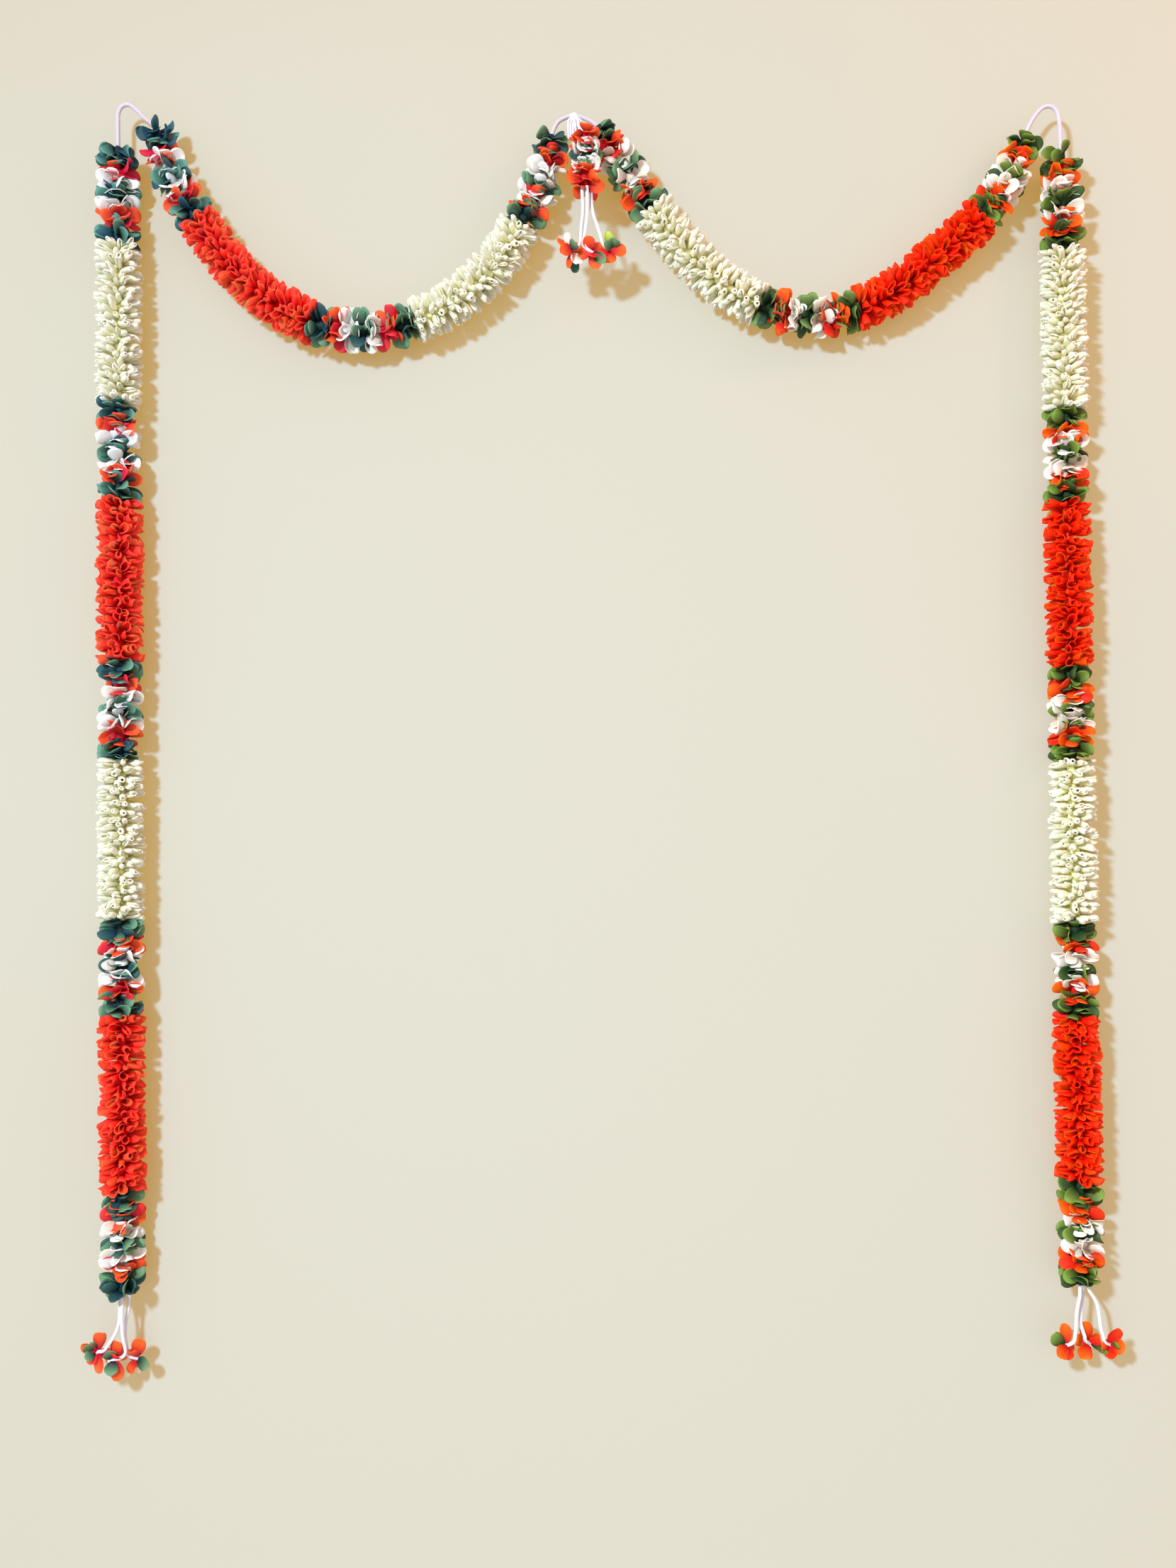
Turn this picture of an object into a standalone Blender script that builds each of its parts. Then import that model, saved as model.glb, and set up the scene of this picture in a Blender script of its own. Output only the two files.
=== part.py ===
"""Door garland of fabric petals threaded on one cotton cord, as it hangs on a wall.

The cord runs from the foot of the left drop, over the left hook, through the left swag,
over the centre hook, through the right swag, over the right hook and down the right drop.
Petal discs are threaded on it in sections: short bands of seven coloured rings, and long
cream or red sections of rolled petals. A short pendant hangs at the centre. Three white
strands with a blossom each end both drops and the pendant.

Frame: +X to the right along the wall, +Y into the wall, +Z up. The origin is where the
cord lies over the centre hook. All sizes are in metres.
"""
import math

import bmesh
import bpy
import numpy as np

# Driving dimensions
CORD_RADIUS = 0.0022
BORE_RADIUS = 0.0028
PIECE_GAP = 0.0004
LEFT_DROP_X = -0.499
LEFT_DROP_TOP = -0.024
RIGHT_DROP_X = 0.533
RIGHT_DROP_TOP = -0.042

# Lengths of the sections along each strand, from its top or its left end
LEFT_DROP_LENGTHS = (0.108, 0.175, 0.106, 0.175, 0.107, 0.174, 0.101, 0.188, 0.113)
RIGHT_DROP_LENGTHS = (0.108, 0.175, 0.101, 0.179, 0.103, 0.174, 0.101, 0.178, 0.111)
LEFT_SWAG_LENGTHS = (0.113, 0.172, 0.112, 0.160, 0.108)
RIGHT_SWAG_LENGTHS = (0.112, 0.157, 0.109, 0.171, 0.099)
DROP_ORDER = ("band", "cream", "band", "red", "band", "cream", "band", "red", "band")
LEFT_SWAG_ORDER = ("band", "red", "band", "cream", "band")
RIGHT_SWAG_ORDER = ("band", "cream", "band", "red", "band")

# The swags' hanging curves as x, z points, from left to right
LEFT_SWAG_ROUTE = (
    (-0.458, -0.004), (-0.452, -0.027), (-0.443, -0.053), (-0.428, -0.081),
    (-0.399, -0.125), (-0.369, -0.163), (-0.331, -0.196), (-0.291, -0.219),
    (-0.244, -0.229), (-0.195, -0.225), (-0.154, -0.211), (-0.112, -0.183),
    (-0.078, -0.146), (-0.054, -0.104), (-0.038, -0.074), (-0.028, -0.046),
    (-0.024, -0.018),
)
RIGHT_SWAG_ROUTE = (
    (0.026, -0.007), (0.039, -0.030), (0.058, -0.058), (0.084, -0.098),
    (0.110, -0.131), (0.137, -0.161), (0.168, -0.188), (0.206, -0.208),
    (0.250, -0.218), (0.285, -0.218), (0.320, -0.207), (0.358, -0.186),
    (0.400, -0.152), (0.441, -0.115), (0.464, -0.087), (0.480, -0.059),
    (0.491, -0.032),
)
# The bare cord over each hook, as x, z points between a drop's top and a swag's end
LEFT_LOOP = (
    (-0.499, 0.004), (-0.4985, 0.014), (-0.494, 0.0215), (-0.486, 0.0225),
    (-0.478, 0.0165), (-0.470, 0.008),
)
CENTRE_LOOP = ((-0.018, -0.003), (-0.008, 0.0035), (0.000, 0.0045), (0.010, 0.003))
RIGHT_LOOP = (
    (0.499, -0.012), (0.507, 0.001), (0.515, 0.0085), (0.5235, 0.0095),
    (0.530, 0.003), (0.5325, -0.012),
)
# The pendant's cord, as x, y, z points: knotted in front of the main cord, then forward
PENDANT_LOOP = (
    (-0.0045, -0.0074, 0.0040), (0.0022, -0.0074, 0.0040), (0.0060, -0.0110, 0.0015),
    (0.0090, -0.0190, -0.0045),
)
LOOP_SWELLS = (1.2, 2.0, 2.0, 1.0, 1.0, 1.0, 1.0, 1.0, 1.0, 1.0)
# The bare cord at the head of the pendant's route, above its first ring
PENDANT_BARE = 0.018
PENDANT_ROUTE = (
    (0.0118, -0.0285, -0.0125), (0.0130, -0.0315, -0.0280), (0.0135, -0.0300, -0.0440),
    (0.0130, -0.0275, -0.0590), (0.0125, -0.0250, -0.0740), (0.0125, -0.0240, -0.0880),
)

# Bands: seven rings of lobed discs round a slim core. A lobe has two corners and a notch;
# its corners lean one up and one down the strand, so that the lobes stand twisted
RING_COLOURS = ("green", "orange", "white", "green", "white", "orange", "green")
PENDANT_COLOURS = ("orange", "white", "green", "white", "orange")
LOBES = 4
BAND_COLUMNS = 3 * LOBES
RING_RADIUS = 0.0247
NOTCH_SHARE = 0.50
BAND_CORE_RADIUS = 0.0085
LOBE_LEAN = 0.0036
LOBE_SHORTER = 0.07
LOBE_TURN = 0.07

# Each ring's radius, and how far its lobes lean along the strand, for the bands that
# aren't plain: at the hooks, at the feet of the drops and on the pendant
PLAIN_RINGS = ((RING_RADIUS,) * 7, (0.0,) * 7)
DROP_RINGS = {
    1: ((0.0235, 0.0235, 0.0240) + (RING_RADIUS,) * 4, (-0.0025,) + (0.0,) * 6),
    5: ((RING_RADIUS,) * 7, (0.0,) * 6 + (0.006,)),
}
LEFT_SWAG_RINGS = {
    1: ((0.0205, 0.0210, 0.0220, 0.0230) + (RING_RADIUS,) * 3, (-0.0025,) + (0.0,) * 6),
    3: ((RING_RADIUS,) * 3 + (0.0235, 0.0225, 0.0210, 0.0195), (0.0,) * 6 + (0.0025,)),
}
RIGHT_SWAG_RINGS = {
    1: ((0.0175, 0.0195, 0.0215, 0.0235) + (RING_RADIUS,) * 3, (-0.0025,) + (0.0,) * 6),
    3: ((RING_RADIUS,) * 3 + (0.0230, 0.0220, 0.0210, 0.0205), (0.0,) * 6 + (0.0025,)),
}
PENDANT_RINGS = ((0.0155, 0.0170, 0.0185, 0.0195, 0.0205), (0.0, 0.0, 0.0, 0.003, 0.008))

# Dense sections: rows of pointed petals, each row turned half a petal to the last
PETALS_ROUND = 6
DENSE_COLUMNS = 2 * PETALS_ROUND
PETAL_ROWS = 13
PETAL_REACH = 0.0255
PETAL_REACH_SPREAD = 0.0012
PETAL_ROOT = 0.0150
PETAL_DROOP = 0.0026
PETAL_TURN = 0.10
# The first row's tips stand this share of a row below the section's top, and the rows
# leave this share of a row free in all
FIRST_TIP = 0.6
SPARE_ROW = 0.2

# Points of the cord in each section on a swag, and on the bare runs over the hooks
BAND_STEPS = 3
DENSE_STEPS = 5
LOOP_STEPS = 12
CENTRE_STEPS = 10

# The knot under a strand's last ring
KNOT_SWELL = 1.5
KNOT_FOOT_SWELL = 1.2
KNOT_LENGTH = 0.0060

# Tassels: three strands and three blossoms. A strand bends once, above its blossom, and
# goes straight for its lead before the blossom
STRAND_RADIUS = 0.0018
STRAND_BEND = 0.0085
STRAND_LEAD = 0.0040
FALL_STEPS = 6
BEND_STEPS = 3
DISC_THICKNESS = 0.0013
SEPAL_OFFSET = 0.0022
BLOSSOM_BORE = 0.0024
FIRST_TURN = 0.35
SEPAL_TURN = 0.75

# One lobe of a blossom and of its sepal disc, as points from a notch round to the last
# shoulder: share of the lobe's turn, radius, and how far forward of the disc's plane
BLOSSOM_LOBES = 4
BLOSSOM_LOBE = (
    (0.00, 0.0065, -0.0006), (0.24, 0.0162, -0.0024), (0.50, 0.0190, -0.0030),
    (0.76, 0.0162, -0.0024),
)
SEPAL_LOBES = 3
SEPAL_LOBE = ((0.00, 0.0055, 0.0002), (0.36, 0.0145, 0.0010), (0.64, 0.0145, 0.0010))

# Where a strand's knot lies beyond its blossom, along the blossom's axis, and its swells
STRAND_TAIL = (0.0044, 0.0056, 0.0080, 0.0092)
STRAND_TAIL_SWELLS = (1.0, 1.7, 1.7, 1.1)
# Each strand, in metres from the foot of the last ring: the places that it falls through
# and its blossom's centre. Then, in degrees, the way it goes through the blossom, as a
# heading (0 straight out of the wall, 90 towards +X) and a dip, and how far it already
# leans where its bend begins
LEFT_TASSEL = (
    (((-0.0049, 0.0035, -0.0004), (-0.0049, 0.0035, -0.0030), (-0.0044, 0.0020, -0.0100),
      (-0.0032, -0.0010, -0.0190), (-0.0030, -0.0044, -0.0300),
      (-0.0062, -0.0072, -0.0400)), (-0.0245, -0.0050, -0.0588), -110.0, 10.0, 35.0),
    (((0.0010, -0.0059, -0.0004), (0.0010, -0.0059, -0.0030), (0.0013, -0.0064, -0.0100),
      (0.0013, -0.0073, -0.0190), (0.0016, -0.0076, -0.0300),
      (0.0024, -0.0070, -0.0420)), (-0.0064, -0.0034, -0.0675), -95.0, 12.0, 0.0),
    (((0.0052, 0.0030, -0.0004), (0.0052, 0.0030, -0.0030), (0.0053, 0.0026, -0.0100),
      (0.0043, 0.0016, -0.0200), (0.0024, 0.0006, -0.0320),
      (0.0019, 0.0004, -0.0450)), (0.0110, 0.0050, -0.0705), 120.0, 25.0, 0.0),
)
CENTRE_TASSEL = (
    (((-0.0038, -0.0052, -0.0006), (-0.0038, -0.0052, -0.0030),
      (-0.0038, -0.0046, -0.0100), (-0.0032, -0.0030, -0.0190),
      (-0.0036, -0.0014, -0.0300), (-0.0050, -0.0003, -0.0410)),
     (-0.0145, 0.0015, -0.0649), -95.0, 25.0, 0.0),
    (((0.0014, -0.0060, -0.0006), (0.0014, -0.0060, -0.0030), (0.0016, -0.0056, -0.0100),
      (0.0016, -0.0046, -0.0190), (0.0012, -0.0038, -0.0300),
      (-0.0002, -0.0036, -0.0420)), (0.0048, -0.0015, -0.0692), 112.0, 26.0, 0.0),
    (((0.0060, 0.0005, -0.0004), (0.0060, 0.0005, -0.0030), (0.0058, 0.0004, -0.0100),
      (0.0064, 0.0002, -0.0190), (0.0084, 0.0000, -0.0300),
      (0.0118, 0.0000, -0.0400)), (0.0242, 0.0020, -0.0648), 110.0, 26.0, 0.0),
)
RIGHT_TASSEL = (
    (((-0.0035, -0.0049, -0.0004), (-0.0035, -0.0049, -0.0030),
      (-0.0040, -0.0052, -0.0100), (-0.0060, -0.0056, -0.0190),
      (-0.0082, -0.0060, -0.0300), (-0.0088, -0.0060, -0.0410)),
     (-0.0173, -0.0025, -0.0638), -110.0, 30.0, 0.0),
    (((0.0035, 0.0049, -0.0004), (0.0035, 0.0049, -0.0030), (0.0033, 0.0045, -0.0100),
      (0.0018, 0.0032, -0.0200), (-0.0006, 0.0014, -0.0310),
      (-0.0014, 0.0000, -0.0420)), (0.0080, 0.0040, -0.0640), 130.0, 30.0, 0.0),
    (((0.0068, -0.0012, -0.0004), (0.0068, -0.0012, -0.0030), (0.0092, -0.0015, -0.0085),
      (0.0129, -0.0021, -0.0145), (0.0158, -0.0028, -0.0220),
      (0.0172, -0.0036, -0.0330), (0.0182, -0.0040, -0.0440)),
     (0.0282, 0.0005, -0.0648), 120.0, 30.0, 0.0),
)

# Looks of the fabrics: base colour and roughness
FINISHES = {
    "cream": ((0.86, 0.84, 0.55), 0.55),
    "red": ((0.80, 0.04, 0.02), 0.50),
    "green": ((0.07, 0.22, 0.12), 0.55),
    "orange": ((0.90, 0.16, 0.02), 0.50),
    "white": ((0.85, 0.84, 0.82), 0.55),
    "cord": ((0.82, 0.80, 0.80), 0.85),
}


def clear_scene():
    """Remove every object that the file already holds."""
    for thing in list(bpy.data.objects):
        bpy.data.objects.remove(thing, do_unlink=True)


def make_materials():
    """One Principled material for each fabric and for the cord."""
    made = {}
    for name, (colour, roughness) in FINISHES.items():
        material = bpy.data.materials.new(name)
        material.use_nodes = True
        shader = material.node_tree.nodes["Principled BSDF"]
        shader.inputs["Base Color"].default_value = (*colour, 1.0)
        shader.inputs["Roughness"].default_value = roughness
        shader.inputs["Metallic"].default_value = 0.0
        made[name] = material
    return made


class Route:
    """A smooth curve through hand-placed points, read by its arc length."""

    reach = 0.004  # how far either side of a place its direction is read

    def __init__(self, points, steps=24):
        self.steps = steps
        knots = np.array(points, dtype=float)
        first = 2 * knots[0] - knots[1]
        last = 2 * knots[-1] - knots[-2]
        knots = np.vstack([first, knots, last])
        t = np.linspace(0.0, 1.0, steps, endpoint=False)[:, None]
        spans = []
        for a, b, c, d in zip(knots[:-3], knots[1:-2], knots[2:-1], knots[3:]):
            bend = (2 * a - 5 * b + 4 * c - d) * t ** 2 + (3 * b - a - 3 * c + d) * t ** 3
            spans.append(0.5 * (2 * b + (c - a) * t + bend))
        self.points = np.vstack(spans + [knots[-2][None, :]])
        steps_along = np.linalg.norm(np.diff(self.points, axis=0), axis=1)
        self.lengths = np.concatenate([[0.0], np.cumsum(steps_along)])
        self.length = self.lengths[-1]

    def distance_of(self, index):
        """The arc length at the route's own point of this number."""
        return self.lengths[index * self.steps]

    def at(self, distance):
        """The point at this arc length."""
        return np.array([np.interp(distance, self.lengths, axis) for axis in self.points.T])

    def frame(self, distance):
        """The point, the direction along, and the two directions across."""
        ahead = self.at(min(distance + self.reach, self.length))
        behind = self.at(max(distance - self.reach, 0.0))
        along = (ahead - behind) / np.linalg.norm(ahead - behind)
        front = np.array([0.0, -1.0, 0.0])
        side = np.cross(along, front)
        side /= np.linalg.norm(side)
        return self.at(distance), along, side, np.cross(side, along)


def flat_route(points):
    """A route in the wall's plane from x, z points."""
    return Route([(x, 0.0, z) for x, z in points])


def ring_of_points(route, distance, radii, turns, shifts):
    """Points round the route at this distance: radius, turn and shift along it for each."""
    centre, along, side, front = route.frame(distance)
    across = np.outer(radii * np.cos(turns), side) + np.outer(radii * np.sin(turns), front)
    return centre + across + np.outer(shifts, along)


def grid_body(name, rows, first_diagonal, materials, row_materials, collection):
    """Close rows of points, round and end to end, into one body with a bore."""
    count = len(rows)
    columns = len(rows[0])
    faces = []
    slots = []
    for i in range(count):
        after = (i + 1) % count
        for j in range(columns):
            beside = (j + 1) % columns
            a = i * columns + j
            b = i * columns + beside
            c = after * columns + beside
            d = after * columns + j
            if first_diagonal(i, j):
                faces += [(a, b, c), (a, c, d)]
            else:
                faces += [(a, b, d), (b, c, d)]
            slots += [row_materials[i]] * 2
    mesh = bpy.data.meshes.new(name)
    mesh.from_pydata(np.vstack(rows).tolist(), [], faces)
    for material in materials:
        mesh.materials.append(material)
    mesh.polygons.foreach_set("material_index", slots)
    shape = bmesh.new()
    shape.from_mesh(mesh)
    bmesh.ops.recalc_face_normals(shape, faces=shape.faces)
    shape.to_mesh(mesh)
    shape.free()
    body = bpy.data.objects.new(name, mesh)
    collection.objects.link(body)
    return body


def bore_rows(route, stations, columns, turn):
    """The bore's rows, from the body's far end back to its near end."""
    turns = turn + np.arange(columns) * math.tau / columns
    radii = np.full(columns, BORE_RADIUS)
    shifts = np.zeros(columns)
    return [ring_of_points(route, s, radii, turns, shifts) for s in reversed(stations)]


def make_band(name, route, start, end, stations, colours, radii, leans, rng, palette, group):
    """A band: lobed discs, one for each colour, on one slim core with a bore."""
    start += PIECE_GAP / 2
    end -= PIECE_GAP / 2
    pitch = (end - start) / len(colours)
    columns = np.arange(BAND_COLUMNS)
    core_radii = np.full(BAND_COLUMNS, BAND_CORE_RADIUS)
    still = np.zeros(BAND_COLUMNS)
    even_turns = columns * math.tau / BAND_COLUMNS
    rows = [ring_of_points(route, start, core_radii, even_turns, still)]
    tints = []
    for index in range(len(colours)):
        place = (columns + index) % 3
        notch = place == 0
        spread = np.where(notch, NOTCH_SHARE, 1.0 - LOBE_SHORTER * rng.random(BAND_COLUMNS))
        turns = even_turns + rng.uniform(-LOBE_TURN, LOBE_TURN, BAND_COLUMNS)
        twist = np.where(place == 1, 1.0, -1.0) * rng.uniform(0.3, 1.0, BAND_COLUMNS)
        shifts = np.where(notch, 0.0, twist * LOBE_LEAN + leans[index])
        middle = start + (index + 0.5) * pitch
        rows.append(ring_of_points(route, middle, radii[index] * spread, turns, shifts))
        after = start + (index + 1) * pitch
        rows.append(ring_of_points(route, after, core_radii, even_turns, still))
        tints += [colours[index]] * 2
    inner = [start] + [s for s in stations if start < s < end] + [end]
    rows += bore_rows(route, inner, BAND_COLUMNS, 0.0)
    used = sorted(set(colours))
    slots = [used.index(tint) for tint in tints]
    slots += [slots[-1]] + [0] * (len(rows) - len(slots) - 2) + [slots[0]]
    materials = [palette[tint] for tint in used]
    return grid_body(name, rows, lambda i, j: (i + j) % 2 == 0, materials, slots, group)


def make_dense_section(name, route, start, end, stations, colour, rng, palette, group):
    """A long section: rows of pointed petals standing out of a core with a bore."""
    start += PIECE_GAP / 2
    end -= PIECE_GAP / 2
    columns = np.arange(DENSE_COLUMNS)
    even_turns = columns * math.tau / DENSE_COLUMNS
    roots = np.full(DENSE_COLUMNS, PETAL_ROOT)
    still = np.zeros(DENSE_COLUMNS)
    pitch = (end - start) / (PETAL_ROWS + SPARE_ROW)
    rows = [ring_of_points(route, start, roots, even_turns, still)]
    for index in range(PETAL_ROWS):
        tip = (columns + index) % 2 == 0
        reach = PETAL_REACH - PETAL_REACH_SPREAD * rng.random(DENSE_COLUMNS)
        radii = np.where(tip, reach, PETAL_ROOT)
        turned = rng.uniform(-PETAL_TURN, PETAL_TURN, DENSE_COLUMNS)
        turns = even_turns + np.where(tip, turned, 0.0)
        shifts = np.where(tip, rng.uniform(-PETAL_DROOP, PETAL_DROOP, DENSE_COLUMNS), 0.0)
        middle = start + (index + FIRST_TIP) * pitch
        rows.append(ring_of_points(route, middle, radii, turns, shifts))
    rows.append(ring_of_points(route, end, roots, even_turns, still))
    inner = [start] + [s for s in stations if start < s < end] + [end]
    rows += bore_rows(route, inner, DENSE_COLUMNS, 0.0)
    slots = [0] * len(rows)
    # Each face is split from root to root, so that every petal stands alone as a point
    return grid_body(name, rows, lambda i, j: (i + j) % 2 == 0, [palette[colour]], slots, group)


def make_tube(name, points, radius, swells, palette, group):
    """A round cord along these points; a swell over 1 makes a knot."""
    data = bpy.data.curves.new(name, "CURVE")
    data.dimensions = "3D"
    data.bevel_depth = radius
    data.bevel_resolution = 2
    data.use_fill_caps = True
    spline = data.splines.new("POLY")
    spline.points.add(len(points) - 1)
    for knot, place, swell in zip(spline.points, points, swells):
        knot.co = (*place, 1.0)
        knot.radius = swell
    data.materials.append(palette["cord"])
    tube = bpy.data.objects.new(name, data)
    group.objects.link(tube)
    return tube


def boundaries(lengths, start=0.0):
    """Where each section starts and ends, from the strand's first end."""
    return [start] + list(start + np.cumsum(lengths))


def swag_stations(edges, order):
    """Where the cord has its points on a swag, shared with the sections' bores."""
    places = []
    for kind, a, b in zip(order, edges[:-1], edges[1:]):
        steps = BAND_STEPS if kind == "band" else DENSE_STEPS
        places += list(np.linspace(a, b, steps, endpoint=False))
    return places + [edges[-1]]


def make_sections(label, route, edges, order, stations, rings, rng, palette, group):
    """All sections of one drop or swag, numbered along it."""
    counts = {"band": 0, "cream": 0, "red": 0}
    for kind, a, b in zip(order, edges[:-1], edges[1:]):
        counts[kind] += 1
        name = f"{label}_{kind}_{counts[kind]}"
        if kind == "band":
            radii, leans = rings.get(counts[kind], PLAIN_RINGS)
            make_band(name, route, a, b, stations, RING_COLOURS, radii, leans, rng, palette,
                      group)
        else:
            make_dense_section(name, route, a, b, stations, kind, rng, palette, group)


def knot_points(foot):
    """A knot under a strand's last ring: its points and swells, top to bottom."""
    x, y, z = foot
    drops = (PIECE_GAP, KNOT_LENGTH / 4, KNOT_LENGTH * 3 / 4, KNOT_LENGTH)
    swells = (1.0, KNOT_SWELL, KNOT_SWELL, KNOT_FOOT_SWELL)
    return [(x, y, z - drop) for drop in drops], list(swells)


def disc_rows(centre, axis, offset, lobes, lobe, turn):
    """Four rows of a thin lobed disc with a bore: inner and rim edges of both faces."""
    up = np.array([0.0, 0.0, 1.0])
    side = np.cross(axis, up)
    side /= np.linalg.norm(side)
    rise = np.cross(side, axis)
    shares, radii, cups = np.tile(np.array(lobe), (lobes, 1)).T
    turns = turn + (np.repeat(np.arange(lobes), len(lobe)) + shares) * math.tau / lobes
    across = np.outer(np.cos(turns), side) + np.outer(np.sin(turns), rise)
    bore = BLOSSOM_BORE * across
    rim = across * radii[:, None] + np.outer(cups, axis)
    near = centre + axis * offset
    far = near + axis * DISC_THICKNESS
    return [far + bore, far + rim, near + rim, near + bore]


def make_disc(name, rows, colour, palette, group):
    """One petal disc of a blossom; both faces are split alike."""
    return grid_body(name, rows, lambda i, j: i in (0, 3), [palette[colour]], [0] * 4, group)


def strand_path(falls, centre, heading, dip, lean):
    """A strand's route down, round its bend and into its blossom, its points along that
    route, and the direction that it goes on in."""
    angle = math.radians(heading)
    fall = math.radians(dip)
    up = np.array([0.0, 0.0, 1.0])
    level = np.array([math.sin(angle), -math.cos(angle), 0.0])
    axis = level * math.cos(fall) - up * math.sin(fall)
    rise = level * math.sin(fall) + up * math.cos(fall)
    hub = centre - STRAND_LEAD * axis + STRAND_BEND * rise
    turns = np.linspace(math.radians(lean), math.pi / 2 - fall, BEND_STEPS + 1)
    bend = [hub - STRAND_BEND * (level * math.cos(t) + up * math.sin(t)) for t in turns]
    path = Route(falls + bend + [centre])
    first = path.distance_of(1)
    last = path.distance_of(len(falls))
    stations = [0.0] + list(np.linspace(first, last, FALL_STEPS))
    stations += [path.distance_of(len(falls) + step) for step in range(1, BEND_STEPS + 2)]
    return [path.at(s) for s in stations], axis


def make_tassel(label, foot, blossoms, palette, group):
    """Three strands from the last ring, each through a blossom and its sepal disc."""
    foot = np.array(foot)
    for number, (falls, offset, heading, dip, lean) in enumerate(blossoms, 1):
        centre = foot + np.array(offset)
        falls = [foot + np.array(fall) for fall in falls]
        points, axis = strand_path(falls, centre, heading, dip, lean)
        swells = [1.0] * len(points) + list(STRAND_TAIL_SWELLS)
        points += [centre + axis * reach for reach in STRAND_TAIL]
        make_tube(f"{label}_strand_{number}", points, STRAND_RADIUS, swells, palette, group)
        turn = FIRST_TURN + number
        petals = disc_rows(centre, axis, 0.0, BLOSSOM_LOBES, BLOSSOM_LOBE, turn)
        make_disc(f"{label}_blossom_{number}", petals, "orange", palette, group)
        sepals = disc_rows(centre, axis, SEPAL_OFFSET, SEPAL_LOBES, SEPAL_LOBE,
                           turn + SEPAL_TURN)
        make_disc(f"{label}_sepals_{number}", sepals, "green", palette, group)


def main():
    clear_scene()
    group = bpy.data.collections.new("door_garland")
    bpy.context.scene.collection.children.link(group)
    palette = make_materials()
    rng = np.random.default_rng(7)

    # The cord's upper run, from the left drop's top to the right drop's top
    left_top = (LEFT_DROP_X, LEFT_DROP_TOP)
    right_top = (RIGHT_DROP_X, RIGHT_DROP_TOP)
    upper_points = (left_top,) + LEFT_LOOP + LEFT_SWAG_ROUTE + CENTRE_LOOP
    upper_points += RIGHT_SWAG_ROUTE + RIGHT_LOOP + (right_top,)
    upper = flat_route(upper_points)
    left_start = upper.distance_of(1 + len(LEFT_LOOP))
    right_index = 1 + len(LEFT_LOOP) + len(LEFT_SWAG_ROUTE) + len(CENTRE_LOOP)
    right_start = upper.distance_of(right_index)

    # Swags, threaded on that run
    left_edges = boundaries(LEFT_SWAG_LENGTHS, left_start)
    right_edges = boundaries(RIGHT_SWAG_LENGTHS, right_start)
    left_stations = swag_stations(left_edges, LEFT_SWAG_ORDER)
    right_stations = swag_stations(right_edges, RIGHT_SWAG_ORDER)
    make_sections("left_swag", upper, left_edges, LEFT_SWAG_ORDER, left_stations,
                  LEFT_SWAG_RINGS, rng, palette, group)
    make_sections("right_swag", upper, right_edges, RIGHT_SWAG_ORDER, right_stations,
                  RIGHT_SWAG_RINGS, rng, palette, group)

    # Drops, straight down
    left_foot = (LEFT_DROP_X, 0.0, LEFT_DROP_TOP - sum(LEFT_DROP_LENGTHS))
    right_foot = (RIGHT_DROP_X, 0.0, RIGHT_DROP_TOP - sum(RIGHT_DROP_LENGTHS))
    left_drop = Route([(LEFT_DROP_X, 0.0, LEFT_DROP_TOP), left_foot])
    right_drop = Route([(RIGHT_DROP_X, 0.0, RIGHT_DROP_TOP), right_foot])
    make_sections("left_drop", left_drop, boundaries(LEFT_DROP_LENGTHS), DROP_ORDER, [],
                  DROP_RINGS, rng, palette, group)
    make_sections("right_drop", right_drop, boundaries(RIGHT_DROP_LENGTHS), DROP_ORDER, [],
                  DROP_RINGS, rng, palette, group)

    # The one cord, from the knot under the left drop to the knot under the right drop
    left_knot, left_swells = knot_points(left_foot)
    right_knot, right_swells = knot_points(right_foot)
    bare_left = list(np.linspace(0.0, left_start, LOOP_STEPS, endpoint=False))
    bare_centre = list(np.linspace(left_edges[-1], right_start, CENTRE_STEPS)[1:-1])
    bare_right = list(np.linspace(right_edges[-1], upper.length, LOOP_STEPS)[1:])
    stations = bare_left + left_stations + bare_centre + right_stations + bare_right
    points = left_knot[::-1] + [upper.at(s) for s in stations] + right_knot
    swells = left_swells[::-1] + [1.0] * len(stations) + right_swells
    make_tube("main_cord", points, CORD_RADIUS, swells, palette, group)

    # The pendant under the centre hook
    pendant = Route(PENDANT_LOOP + PENDANT_ROUTE)
    pendant_start = pendant.distance_of(len(PENDANT_LOOP)) + PENDANT_BARE
    pendant_stations = list(np.linspace(pendant_start, pendant.length, BAND_STEPS + 2))
    make_band("centre_pendant", pendant, pendant_start, pendant.length, pendant_stations,
              PENDANT_COLOURS, PENDANT_RINGS[0], PENDANT_RINGS[1], rng, palette, group)
    loop_stations = list(np.linspace(0.0, pendant_start, len(LOOP_SWELLS), endpoint=False))
    pendant_knot, pendant_swells = knot_points(pendant.at(pendant.length))
    points = [pendant.at(s) for s in loop_stations + pendant_stations] + pendant_knot
    swells = list(LOOP_SWELLS) + [1.0] * len(pendant_stations) + pendant_swells
    make_tube("pendant_cord", points, CORD_RADIUS, swells, palette, group)

    make_tassel("left_tassel", left_foot, LEFT_TASSEL, palette, group)
    make_tassel("centre_tassel", pendant.at(pendant.length), CENTRE_TASSEL, palette, group)
    make_tassel("right_tassel", right_foot, RIGHT_TASSEL, palette, group)


main()
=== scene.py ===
# %% [markdown]
# # Dressing a door garland of satin petals
#
# The real garland is two straight drops joined by two swags. Petals cut from satin ribbon
# are threaded on one cotton cord: short bands of coloured petal discs, and long cream or
# red sections of petals rolled into little trumpets. Three small bunches of blossoms hang
# from white strands.
#
# The CAD model gives each section as one closed solid, which is right for weight and
# collision but looks like a spiked stick. This lesson puts real petals in each solid's
# place. A petal is a sheet of points worked out from two numbers, one across it and one
# along it, so a whole section is one numpy calculation.

# %% Load the frame
import math

import bpy
import numpy as np
from mathutils import Matrix, Vector


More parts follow.
